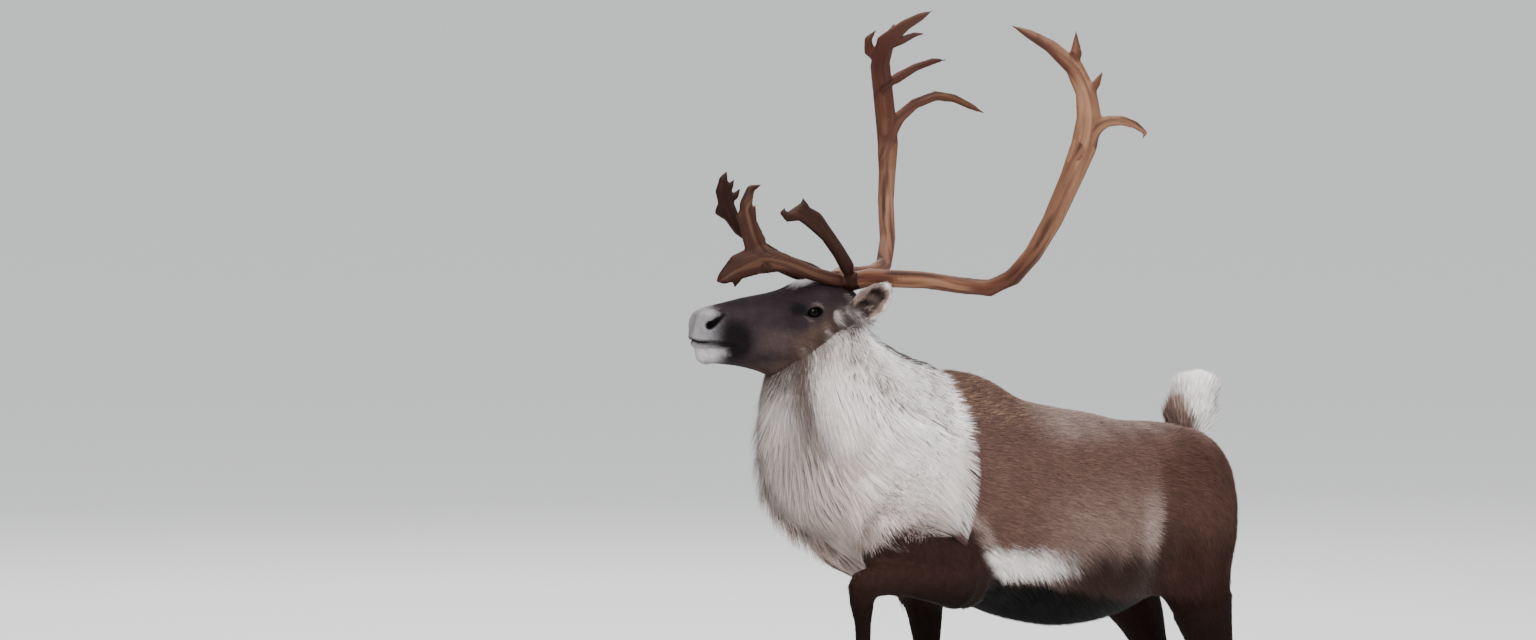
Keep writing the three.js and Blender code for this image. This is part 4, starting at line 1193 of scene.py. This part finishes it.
def build_antler(side, settings):
    names = [n for n in CAD if n.startswith(f"antler_{side}_")]
    bm = bmesh.new()
    add_copies(bm, names, 0.001)
    mesh = fused(bm, f"antler_{side}", settings.antler_mesh)
    co = to_bull(coordinates(mesh))
    edges = edges_of(mesh)
    for _ in range(22):
        co = relaxed(co, edges, 0.6, 1)
        co = relaxed(co, edges, -0.6, 1)
    co = relaxed(co, edges, 0.5, 7)
    set_coordinates(mesh, to_row(co))
    local = to_head(co)
    run, angle, share, front = stem_places(local, side)
    normals = normals_of(mesh)
    ring = np.stack([26 * np.cos(angle), 26 * np.sin(angle), 0.07 * run], axis=1)
    streak = wobble(ring, 40, 21) * 0.6 + wobble(ring, 15, 22) * 0.5 + wobble(ring, 6, 24) * 0.3
    blotch = wobble(co, 70, 23)
    tip = step(share, 0.8, 0.97)
    co += normals * (0.5 + 0.55 * streak * (1 - tip) * (1 - 0.4 * front))[:, None]
    set_coordinates(mesh, to_row(co))
    bone = Paint("beam", len(co))
    high = step(local[:, 2] + 24 * blotch, 130, 400)
    # The left antler is pale from bleaching nearly to its tips, the right one is dark above.
    dark = {"left": 0.25, "right": 0.85}[side]
    bone.lay("deep", high * (1 - front) * dark)
    middle = step(local[:, 2], 20, 120) * step(local[:, 2], 480, 340)
    bone.lay("bleach_and_light", middle * (1 - dark) * (1 - front) * 0.4)
    bone.lay("tine", front * 0.95)
    bone.lay("tine", step(share, 0.1, 0.02) * (1 - front) * 0.8)
    # Painted highlight: the upper faces of the bone lighter, as light falls on them, in the pale colour
    # of its bleaching.
    painted_top_light = step(normals[:, 2] + 0.35 * streak, 0.0, 0.9) * (1 - 0.9 * front) * (1 - 0.9 * dark * high)
    bone.lay("bleach_and_light", painted_top_light * (0.25 + 0.3 * step(local[:, 2], 20, 140)))
    streaked = step(streak, 0.1, 1.0) * (1 - 0.95 * front) * (1 - high * dark)
    bone.lay("bleach_and_light", streaked * {"left": 0.5, "right": 0.3}[side])
    bone.lay("groove", step(streak + 0.4 * blotch, -0.1, -1.2) * 0.7)
    bone.lay("ends", tip * 0.4)
    paint(mesh, "Bone", bone.colour)
    obj = mesh_object(f"antler_{side}_bone", mesh)
    finish_piece(obj, antler_material())
    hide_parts(*names)


class CARIBOU_OT_antlers(bpy.types.Operator):
    """Fuses each antler's beam and tines and cuts its lengthwise grooves"""

    bl_idname = "caribou.antlers"
    bl_label = "Antlers"

    def execute(self, context):
        for side in SIDES:
            build_antler(side, context.scene.caribou)
        return {"FINISHED"}


# Eyes and hooves


class CARIBOU_OT_eyes(bpy.types.Operator):
    """Sets a dark, wet eye with a level pupil in each socket"""

    bl_idname = "caribou.eyes"
    bl_label = "Eyes"

    def execute(self, context):
        material = eye_material()
        for side, out in SIDES.items():
            bm = bmesh.new()
            bmesh.ops.create_uvsphere(bm, u_segments=48, v_segments=32, radius=1)
            ball = np.array([v.co for v in bm.verts])
            centre = EYE * (1, out, 1)
            for vert, place in zip(bm.verts, to_row(from_head(centre + ball * EYE_RADIUS))):
                vert.co = place
            bmesh.ops.recalc_face_normals(bm, faces=bm.faces)
            obj = object_from(bm, f"eyeball_{side}")
            x, y, z = ball.T
            facing = y * out
            iris = Paint("eyeball", len(ball))
            iris.lay("iris", step(np.hypot(x, z), 0.62, 0.45) * (facing > 0))
            iris.lay("pupil", step(np.hypot(x / 1.6, z), 0.27, 0.2) * (facing > 0))
            paint(obj.data, "Iris", iris.colour)
            finish_piece(obj, material)
            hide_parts(f"eye_{side}")
        return {"FINISHED"}


class CARIBOU_OT_hooves(bpy.types.Operator):
    """Rounds the two hooves and two dewclaws of each foot"""

    bl_idname = "caribou.hooves"
    bl_label = "Hooves"

    def execute(self, context):
        material = hoof_material()
        for leg in LEG_LINES:
            names = [n for n in CAD if n.startswith(leg) and ("hoof" in n or "dewclaw" in n)]
            bm = bmesh.new()
            add_copies(bm, names, 0.0)
            mesh = fused(bm, f"{leg}_foot", HOOF_MESH)
            co = coordinates(mesh)
            sole = co[:, 2] < 0.002
            co = relaxed(co, edges_of(mesh), 0.5, 5)
            if leg in STANDING_FEET:
                co[sole, 2] = 0.0
                co[:, 2] = co[:, 2].clip(0)
            set_coordinates(mesh, co)
            obj = mesh_object(f"{leg}_horn", mesh)
            finish_piece(obj, material)
            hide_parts(*names)
        return {"FINISHED"}


# Coat


def scatter(part, density, seed):
    """Random places on the skin: points and normals in the bull's axes."""
    mesh = bpy.data.objects["skin"].data
    mesh.calc_loop_triangles()
    corners = np.zeros(len(mesh.loop_triangles) * 3, np.int32)
    mesh.loop_triangles.foreach_get("vertices", corners)
    corners = corners.reshape(-1, 3)
    corners = corners[parts_of(mesh)[corners[:, 0]] == part]
    co = to_bull(coordinates(mesh))
    normals = normals_of(mesh)
    a, b, c = (co[corners[:, i]] for i in range(3))
    area = np.linalg.norm(np.cross(b - a, c - a), axis=1) / 2 * MM * MM
    rng = np.random.default_rng(seed)
    wanted = area * density((a + b + c) / 3)
    count = np.floor(wanted + rng.random(len(wanted))).astype(int)
    chosen = np.repeat(np.arange(len(corners)), count)
    u, v = rng.random((2, len(chosen)))
    over = u + v > 1
    u[over], v[over] = 1 - u[over], 1 - v[over]
    w = 1 - u - v
    corners = corners[chosen]
    points = sum(co[corners[:, i]] * s[:, None] for i, s in enumerate((w, u, v)))
    facing = sum(normals[corners[:, i]] * s[:, None] for i, s in enumerate((w, u, v)))
    return points, unit(facing)


# Widths of a tuft at its rings, for tufts of one and of two rings under the tip
PROFILE = {1: [0.75], 2: [0.8, 1.0]}


def hair():
    """The one material of all tufts."""
    return bpy.data.materials.get("Caribou guard hair") or hair_material()


def tuft_piece(name, path, normals, width, colours, chart):
    """One joined mesh of tapered tufts. A path is each tuft's places, from its root to its
    tip, as an array of tufts by places by 3. Colours are one to a tuft for root and tip."""
    count, places = path.shape[:2]
    rings = places - 1
    along = np.gradient(path, axis=1)
    side = unit(np.cross(along, normals[:, None, :]))
    up = unit(np.cross(side, along))
    profile = np.array(PROFILE[rings])[None, :, None]
    half = width[:, None, None] * profile / 2
    body = path[:, :rings]
    left = body - side[:, :rings] * half
    right = body + side[:, :rings] * half
    top = body + up[:, :rings] * half * 0.7
    ring = np.stack([left, right, top], axis=2).reshape(count, rings * 3, 3)
    co = np.concatenate([ring, path[:, -1:]], axis=1)
    faces = [(0, 1, 2)]
    for r in range(rings - 1):
        for k in range(3):
            p, q = 3 * r + k, 3 * r + (k + 1) % 3
            faces += [(p, p + 3, q), (q, p + 3, q + 3)]
    tip = rings * 3
    for k in range(3):
        faces.append((tip - 3 + k, tip, tip - 3 + (k + 1) % 3))
    faces = np.array(faces)
    per = tip + 1
    corners = (faces[None] + per * np.arange(count)[:, None, None]).reshape(-1, 3)
    mesh = bpy.data.meshes.new(name)
    mesh.vertices.add(count * per)
    mesh.vertices.foreach_set("co", to_row(co.reshape(-1, 3)).astype(np.float32).ravel())
    mesh.loops.add(len(corners) * 3)
    mesh.loops.foreach_set("vertex_index", corners.astype(np.int32).ravel())
    mesh.polygons.add(len(corners))
    mesh.polygons.foreach_set("loop_start", np.arange(0, len(corners) * 3, 3, dtype=np.int32))
    mesh.update(calc_edges=True)
    share = np.concatenate([np.repeat(np.arange(rings) / rings, 3), [1.0]])
    root, end = colours
    shade = root[:, None] * (1 - share)[None, :, None] + end[:, None] * share[None, :, None]
    paint(mesh, "Coat", shade.reshape(-1, 3))
    rng = np.random.default_rng(count)
    shading = unit(normals + rng.normal(0, 0.16, normals.shape))
    mesh.polygons.foreach_set("use_smooth", np.ones(len(mesh.polygons), bool))
    mesh.normals_split_custom_set_from_vertices(np.repeat(shading, per, axis=0).astype(np.float32))
    spot = np.zeros((per, 2))
    spot[:, 1] = share - 0.5
    spot[:tip, 0] = np.tile([-0.5, 0.5, 0.0], rings)
    uv = chart[:, None] + BAKE_PATCH * spot[None]
    layer = mesh.uv_layers.new(name="OFBake")
    layer.uv.foreach_set("vector", uv.reshape(-1, 2)[corners.ravel()].astype(np.float32).ravel())
    obj = mesh_object(name, mesh)
    finish_piece(obj, hair(), smooth=False)


def lay_tufts(name, parts, path, normals, width, colours, tips, chart):
    """Short tufts in joined pieces, one for each part of a coat, darker at their roots as painted shade,
    with tips of that shade.
    """
    for number, kept in enumerate(parts):
        tuft_piece(
            f"{name}_{number}", path[kept], normals[kept], width[kept],
            (colours[kept] * PAINTED_ROOT_SHADE, colours[kept] * tips), chart[kept],
        )


def laid_path(points, normals, way, length, lift, sunk=1.0):
    """Paths that start a little under the skin and lie down along it."""
    root = points - normals * sunk
    rise = (lift - lift * 0.3) * length
    tip = root + way * length[:, None] + normals * rise[:, None]
    return np.stack([root, tip], axis=1)


def aslant(normals, flow, rng, spread):
    """The lie of the coat, with each tuft turned a little to one side."""
    return unit(flow + np.cross(normals, flow) * rng.normal(0, spread, (len(flow), 1)))


def varied(colours, rng, spread):
    """Colours a little lighter or darker from tuft to tuft."""
    return colours * rng.uniform(1 - spread, 1 + spread, (len(colours), 1))


def on_chart(across_it, up_it):
    """Places on an unwrap from shares of its width and height, kept inside its edges."""
    return np.stack([0.02 + 0.96 * across_it, 0.02 + 0.96 * up_it], axis=1).clip(0.01, 0.99)


def turn_share(aside, ahead):
    """Which share of a full turn a direction is at."""
    return np.arctan2(aside, ahead) / (2 * math.pi) + 0.5


def trunk_chart(points):
    """Place on an unwrap of the trunk: along it and round it."""
    x, y, z = points.T
    return on_chart((x + 520) / 1340, turn_share(z - 890, y))


def leg_chart(points):
    """Place on an unwrap of the legs: each has a quarter, down it and round it."""
    near = near_legs(points)
    column = (near["leg"] + 0.04 + 0.92 * turn_share(near["away"][:, 1], near["away"][:, 0])) / 4
    return np.stack([column, 0.02 + 0.96 * near["place"] / 1500], axis=1).clip(0.01, 0.99)


def head_chart(points):
    """Place on an unwrap of the head: along it and round it."""
    x, y, z = to_head(points).T
    return on_chart((x + 380) / 480, turn_share(z + 110, y))


def is_leg(points):
    return (leg_share(near_legs(points)) > 0.5) | (points[:, 2] < 560)


def over_skin(points, height):
    """Points of the trunk and neck lifted along the skin to at least a height over it, in mm."""
    mesh = bpy.data.objects["skin"].data
    kept = np.flatnonzero(parts_of(mesh) == 0)
    co, normals = to_bull(coordinates(mesh))[kept], normals_of(mesh)[kept]
    nearest = nearest_of(co, points)
    above = np.sum((points - co[nearest]) * normals[nearest], axis=1)
    return points + normals[nearest] * (height - above).clip(0)[:, None]


def strewn(points, rng, spread):
    """Places a little aside, so that a marking's edge breaks up into single hairs."""
    return points + rng.normal(0, spread, points.shape)


class CARIBOU_OT_body_coat(bpy.types.Operator):
    """Lays short tufts over the trunk, shoulders and haunches along the lie of the coat"""

    bl_idname = "caribou.body_coat"
    bl_label = "Body coat"

    def execute(self, context):
        settings = context.scene.caribou
        rng = np.random.default_rng(31)

        def density(points):
            tail = (points[:, 2] > 1075) & (points[:, 0] > 640)
            return settings.body_tufts * ~is_leg(points) * ~tail * (1 - 0.93 * mane_share(points))

        points, normals = scatter(0, density, 30)
        flow = lie_of_coat(points, normals)
        x, y, z = points.T
        line = between(z, SHOULDER_LINE)
        silky = step(x, line + 30, line - 40)
        silky *= step(z, 830, 880)
        shaggy = step(z, 800, 745) * step(x, -140, -80) * step(x, 460, 400)
        long = settings.hair_length / MM * (1 + 0.5 * silky + 0.5 * shaggy)
        long *= rng.uniform(0.75, 1.2, len(x))
        way = aslant(normals, flow, rng, 0.14)
        lift = rng.uniform(0.14, 0.3, len(x)) * (1 - 0.3 * silky)
        path = laid_path(points, normals, way, long, lift)
        colours = varied(body_colours(strewn(points, rng, 3)), rng, 0.34)
        width = rng.uniform(1.7, 2.8, len(x))
        parts = body_parts(x, y)
        chart = trunk_chart(points)
        lay_tufts("coat_body", parts, path, normals, width, colours, 1.08, chart)
        return {"FINISHED"}


def body_parts(x, y):
    """The body's coat in six pieces: three lengths of each side."""
    return [
        (y < 0 if side == 0 else y >= 0) & (x >= low) & (x < high)
        for side in (0, 1)
        for low, high in ((-900, 30), (30, 420), (420, 2000))
    ]


class CARIBOU_OT_leg_coat(bpy.types.Operator):
    """Lays short, close tufts down the legs"""

    bl_idname = "caribou.leg_coat"
    bl_label = "Leg coat"

    def execute(self, context):
        settings = context.scene.caribou
        rng = np.random.default_rng(41)
        points, normals = scatter(0, lambda p: settings.leg_tufts * is_leg(p), 40)
        near = near_legs(points)
        flow = lie_of_coat(points, normals)
        foot = step(points[:, 2], 150, 60) * (near["leg"] != RAISED_LEG)
        long = rng.uniform(9, 15, len(points)) * (1 + 0.5 * foot)
        lift = rng.uniform(0.12, 0.26, len(points))
        way = aslant(normals, flow, rng, 0.1)
        path = laid_path(points, normals, way, long, lift, sunk=0.4)
        path[:, :, 2] = path[:, :, 2].clip(2)
        colours = varied(body_colours(strewn(points, rng, 2)), rng, 0.2)
        width = rng.uniform(1.5, 2.4, len(points))
        hind = near["leg"] >= FIRST_HIND_LEG
        chart = leg_chart(points)
        lay_tufts("coat_legs", (~hind, hind), path, normals, width, colours, 1.15, chart)
        return {"FINISHED"}


class CARIBOU_OT_face_coat(bpy.types.Operator):
    """Lays the smallest tufts over the head and ears, clear of eyes, nostrils and lips"""

    bl_idname = "caribou.face_coat"
    bl_label = "Face coat"

    def execute(self, context):
        settings = context.scene.caribou
        rng = np.random.default_rng(51)

        def density(points):
            place = mirror(to_head(points))
            lids = (eye_opening(place[:, 0] - EYE[0], place[:, 2] - EYE[2]) < 1.35) & (place[:, 1] > 45)
            clear = ~lids & (nostril_distance(place) > 10) & (mouth_distance(place) > 3.5)
            return settings.face_tufts * clear

        points, normals = scatter(1, density, 50)
        local = to_head(points)
        flow = lie_on_head(points, normals)
        ear = ear_share(local)
        _, width, along, opens = ear_place(local)
        fan = along + 0.25 * np.sign(width)[:, None] * np.cross(along, opens)
        flow = across(flow * (1 - ear)[:, None] + fan @ HEAD_AXES * ear[:, None], normals)
        back = step(local[:, 0], -250, -40)
        brow = step(np.hypot(local[:, 0] + 116, local[:, 1]), 46, 26) * step(local[:, 2], -26, -12)
        lidded = np.linalg.norm(mirror(local) - EYE, axis=1)
        short = step(lidded, 62, 30) * 0.5
        away = behind_jaw(local[:, 0], local[:, 2])
        collar = step(away, -60, 0) * step(local[:, 2], -50, -90) * (1 - ear)
        behind = 20 * collar
        long = (5.5 + 7 * back + behind + 14 * brow) * (1 - short) * (1 - 0.35 * ear)
        long *= rng.uniform(0.75, 1.25, len(points))
        lift = rng.uniform(0.14, 0.3, len(points)) + 0.15 * brow + 0.12 * collar
        way = aslant(normals, flow, rng, 0.14)
        path = laid_path(points, normals, way, long, lift, sunk=0.3)
        near = strewn(points, rng, 2)
        colours = varied(face_and_ears(near, normals), rng, 0.2)
        width = rng.uniform(0.9, 1.5, len(points)) * (1 + 0.3 * ear + 0.5 * brow)
        # Painted shade: the tufts darker at their roots.
        tuft_piece(
            "coat_face", path, normals, width, (colours * PAINTED_ROOT_SHADE, colours * 1.15),
            head_chart(points),
        )
        return {"FINISHED"}


class CARIBOU_OT_mane(bpy.types.Operator):
    """Hangs the long strands of the mane down the neck to the chest"""

    bl_idname = "caribou.mane"
    bl_label = "Mane"

    def execute(self, context):
        settings = context.scene.caribou
        rng = np.random.default_rng(61)
        count = int(settings.mane_strands * 2.4)
        t = rng.uniform(0.07, 0.99, count)
        angle = rng.uniform(math.radians(140), math.radians(400), count)
        here = on_form(NECK, t, angle)
        down = (on_form(NECK, t - 0.01, angle) - here) / 0.01
        aside = (on_form(NECK, t, angle + 0.01) - here) / 0.01
        facing = np.cross(down, aside)
        depth = mane_depth(t, angle)
        wanted = np.linalg.norm(facing, axis=1) * step(depth, 4, 10) * (1 + 0.8 * step(t, 0.7, 0.88))
        kept = np.flatnonzero(rng.random(count) < wanted / np.quantile(wanted, 0.97))
        kept = kept[: settings.mane_strands]
        t, angle, depth = t[kept], angle[kept], depth[kept]
        pace = np.linalg.norm(down[kept], axis=1)
        normals = unit(facing[kept])
        outward = here[kept] - curve(NECK, t)[:, 0:3]
        normals *= np.sign(np.sum(normals * outward, axis=1))[:, None]
        under = -np.sin(angle)
        front = under.clip(0)
        rows, columns = np.floor(t * 13), np.floor(angle * 11 + 0.5 * np.floor(t * 13))
        wisp = np.sin((columns + 57 * rows) * 12.9898) * 0.5 + 0.5
        middle = (columns - 0.5 * rows + 0.5) / 11
        low = step(t, 0.95, 0.5)
        long = settings.mane_length / MM * (0.2 + (0.6 + 0.36 * front) * low + 0.1 * wisp)
        long *= rng.uniform(0.8, 1.12, len(t))
        long += 0.7 * pace * (t - (rows + 0.5) / 13) * low
        tip = 6 * low * wisp + front * low * (2 + 14 * wisp**3) + rng.uniform(-2, 2, len(t))
        stray = rng.random(len(t)) < 0.3 * step(wisp, 0.4, 0.6) * step(front, 0.2, 0.45) * low
        tip = np.where(stray, front * (18 + 24 * wisp), tip)
        long = np.where(stray, 0.62 * long, long)
        sway = wobble(np.stack([angle * 160, t * 700, 0 * t], axis=1), 90, 62)
        drift = -np.sign(np.cos(angle)) * 0.2 * (1 - front) + 0.07 * sway
        heights = [-depth - 2, -depth * 0.4 + tip * 0.3, tip]
        path = np.zeros((len(t), 3, 3))
        for i, run in enumerate((0.0, 0.5, 1.0)):
            along = np.maximum(t - long * run / pace, 0.004)
            turn = angle + (middle - angle) * (0.7 + 0.2 * stray) * run * low + drift * run * long / 130
            turn = turn + rng.normal(0, 0.014, len(t)) * run
            path[:, i] = on_form(NECK, along, turn, heights[i])
            if i:
                path[:, i] = over_skin(path[:, i], 2.5 + 2 * wisp + 2 * i)
        self.add_flecks(rng)
        near = near_legs(path[:, -1])
        free = ~((near["ratio"] < 1.0) & (path[:, -1, 2] < 840))
        colours = body_colours(strewn(here[kept], rng, 7))
        ends = body_colours(strewn(path[:, -1], rng, 5))
        colours = colours * (1 - low)[:, None] + (0.6 * colours + 0.4 * ends) * low[:, None]
        bright = rng.uniform(0.8, 1.08, (len(t), 1)) * (0.84 + 0.24 * wisp)[:, None]
        # Painted shade: the strands darker at their roots, most in the long hair low on the neck, as
        # shade falls deep in the mane.
        root = (0.9 - 0.3 * low)[:, None] * (1.0, 0.97, 0.95)
        width = rng.uniform(1.5, 2.4, len(t)) * (0.5 + 0.5 * low)
        chart = on_chart(angle / (2 * math.pi) % 1.0, t)
        for number, part in enumerate(
            (np.cos(angle) < -0.3, np.abs(np.cos(angle)) <= 0.3, np.cos(angle) > 0.3)
        ):
            part = part & free
            tuft_piece(
                f"mane_{number}", path[part], normals[part], width[part],
                ((colours * bright * root)[part], (colours * bright * 1.12)[part]),
                chart[part],
            )
        return {"FINISHED"}

    def add_flecks(self, rng):
        """Dark hairs in short dashes on the white, along the nape and before the shoulder."""
        count = FLECKS
        t = rng.uniform(0.1, 0.96, count)
        angle = rng.uniform(0, 2 * math.pi, count)
        here = on_form(NECK, t, angle, 1.5)
        under = -np.sin(angle)
        nape = step(under, 0.15, -0.6) * (0.35 + 0.65 * step(wobble(here, 60, 63), -0.4, 0.6))
        nape *= 1 - 0.9 * step(under, -0.35, -0.8)
        rear = step(here[:, 0], -290, -150) * step(under, 0.5, 0.0) * 0.6
        line = between(here[:, 2], SHOULDER_LINE)
        white = step(here[:, 0], line - 6, line - 30)
        kept = rng.random(count) < np.maximum(nape, rear) * white * 0.85
        t, angle, here, under = t[kept], angle[kept], here[kept], under[kept]
        pace = np.linalg.norm(on_form(NECK, t - 0.01, angle) - here, axis=1) / 0.01
        run = rng.uniform(9, 17, len(t)) / pace
        drift = -np.sign(np.cos(angle)) * 0.05
        ends = on_form(NECK, t - run, angle + drift, 6)
        path = np.stack([over_skin(here, 4.0), over_skin(ends, 9.0)], axis=1)
        normals = unit(here - curve(NECK, t)[:, 0:3])
        chart = on_chart(angle / (2 * math.pi) % 1.0, t)
        colours = varied(Paint("fleck", len(t)).colour, rng, 0.35)
        # Painted shade: each fleck darker at its root.
        tuft_piece(
            "mane_flecks", path, normals, rng.uniform(1.7, 2.9, len(t)),
            (colours * 0.7, colours), chart,
        )


class CARIBOU_OT_tail_hair(bpy.types.Operator):
    """Fans the tail's hair up and out, grey in front and white behind"""

    bl_idname = "caribou.tail_hair"
    bl_label = "Tail hair"

    def execute(self, context):
        rng = np.random.default_rng(71)
        count = TAIL_STRANDS
        t = rng.uniform(0.04, 0.97, count)
        angle = rng.uniform(0, 2 * math.pi, count)
        low = step(t, 0.45, 0.1)
        root = on_form(TAIL, t, angle, -19.0 + 14 * low)
        centre = curve(TAIL, t)[:, 0:3]
        inner = 1 - rng.uniform(0, 0.9, count) * step(t, 0.7, 0.9)
        root = centre + (root - centre) * inner[:, None]
        away = unit(root - centre)
        up = np.tile(unit(np.array([0.16, 0.0, 1.0])), (count, 1))
        rear = step(away[:, 0], -0.2, 0.8)
        fan = (0.3 + 0.22 * rear + 0.3 * low)[:, None] * rng.uniform(0.4, 1.3, (count, 1))
        way = unit(up + away * fan + rng.normal(0, 0.09, (count, 3)))
        long = rng.uniform(34, 60, count) * (1 - 0.5 * step(t, 0.5, 0.97))
        s = np.array([0, 0.5, 1.0])[None, :, None]
        path = root[:, None] + way[:, None] * s * long[:, None, None]
        path = path + away[:, None] * (s * (1 - s) * 14)
        facing = unit(away + up * 0.9 * step(t, 0.45, 0.9)[:, None])
        colours = body_colours(strewn(path[:, 1], rng, 5))
        bright = rng.uniform(0.85, 1.08, (count, 1))
        chart = on_chart(angle / (2 * math.pi), t)
        # Painted shade: each strand darker at its root, deep in the tail's hair.
        tuft_piece(
            "tail_hair", path, facing, rng.uniform(2.2, 3.8, count),
            (colours * bright * 0.8, colours * bright * 1.05), chart,
        )
        return {"FINISHED"}


# Stage


class CARIBOU_OT_stage(bpy.types.Operator):
    """Sets the pale floor, the soft lights and the camera"""

    bl_idname = "caribou.stage"
    bl_label = "Stage"

    def execute(self, context):
        stage = context.scene.caribou_stage
        self.add_floor()
        middle = Vector((0.05, 0.1, 1.0))
        lights = (
            ("key", (-4.5, -7.0, 6.5), 4.0, stage.key_power),
            ("fill", (7.0, -6.0, 3.5), 6.0, stage.key_power * 0.12),
            ("back", (4.0, 7.5, 6.0), 5.0, stage.key_power * 0.3),
            ("top", (0.5, 0.0, 8.0), 5.0, stage.key_power * 0.45),
        )
        for name, place, size, power in lights:
            light = bpy.data.lights.new(name, "AREA")
            light.energy = power
            light.size = size
            obj = bpy.data.objects.new(name, light)
            obj.location = place
            obj.rotation_euler = (middle - Vector(place)).to_track_quat("-Z", "Y").to_euler()
            context.scene.collection.objects.link(obj)
        world = bpy.data.worlds.new("Studio")
        world.use_nodes = True
        ground = world.node_tree.nodes["Background"]
        ground.inputs["Color"].default_value = (*linear("#f0f2f4"), 1)
        ground.inputs["Strength"].default_value = 1.0
        context.scene.world = world
        self.add_camera(context, stage)
        return {"FINISHED"}

    def add_floor(self):
        bm = bmesh.new()
        bmesh.ops.create_circle(bm, cap_ends=True, segments=96, radius=450.0)
        floor = object_from(bm, "floor")
        floor.data.materials.append(floor_material())

    def add_camera(self, context, stage):
        """The photograph's view, from far off with a long lens."""
        turn, rise = stage.turn, stage.rise
        back = Vector((math.sin(turn) * math.cos(rise), -math.cos(turn) * math.cos(rise), math.sin(rise)))
        right = back.cross(Vector((0, 0, 1))).normalized() * -1
        up = back.cross(right)
        withers = Vector(to_row((0, 0, 1200)))
        aside = (WITHERS_PIXEL[0] - PHOTO_SIZE[0] / 2) / PIXELS_TO_METRE
        below = (WITHERS_PIXEL[1] - PHOTO_SIZE[1] / 2) / PIXELS_TO_METRE
        target = withers - right * aside + up * below
        camera = bpy.data.cameras.new("camera")
        camera.sensor_width = 36.0
        camera.lens = camera.sensor_width * stage.distance / (PHOTO_SIZE[0] / PIXELS_TO_METRE)
        camera.clip_end = 600.0
        obj = bpy.data.objects.new("camera", camera)
        obj.location = target + back * stage.distance
        obj.rotation_euler = (-back).to_track_quat("-Z", "Y").to_euler()
        context.scene.collection.objects.link(obj)
        context.scene.camera = obj


class CARIBOU_PT_panel(bpy.types.Panel):
    """Lists the caribou's settings and pieces"""

    bl_idname = "CARIBOU_PT_panel"
    bl_label = "Caribou"
    bl_space_type = "VIEW_3D"
    bl_region_type = "UI"
    bl_category = "Caribou"

    def draw(self, context):
        for settings in (context.scene.caribou, context.scene.caribou_stage):
            for name in settings.__annotations__:
                self.layout.prop(settings, name)
        for operator in OPERATORS:
            self.layout.operator(operator.bl_idname)


OPERATORS = (
    CARIBOU_OT_skin, CARIBOU_OT_antlers, CARIBOU_OT_eyes, CARIBOU_OT_hooves,
    CARIBOU_OT_body_coat, CARIBOU_OT_leg_coat, CARIBOU_OT_face_coat, CARIBOU_OT_mane,
    CARIBOU_OT_tail_hair, CARIBOU_OT_stage,
)
CLASSES = (CaribouSettings, StageSettings, *OPERATORS, CARIBOU_PT_panel)


def register():
    for cls in CLASSES:
        bpy.utils.register_class(cls)
    bpy.types.Scene.caribou = bpy.props.PointerProperty(type=CaribouSettings)
    bpy.types.Scene.caribou_stage = bpy.props.PointerProperty(type=StageSettings)


def unregister():
    del bpy.types.Scene.caribou_stage
    del bpy.types.Scene.caribou
    for cls in reversed(CLASSES):
        bpy.utils.unregister_class(cls)


def main():
    register()
    bpy.ops.caribou.skin()
    bpy.ops.caribou.antlers()
    bpy.ops.caribou.eyes()
    bpy.ops.caribou.hooves()
    bpy.ops.caribou.body_coat()
    bpy.ops.caribou.leg_coat()
    bpy.ops.caribou.face_coat()
    bpy.ops.caribou.mane()
    bpy.ops.caribou.tail_hair()
    bpy.ops.caribou.stage()


if __name__ == "__main__":
    main()
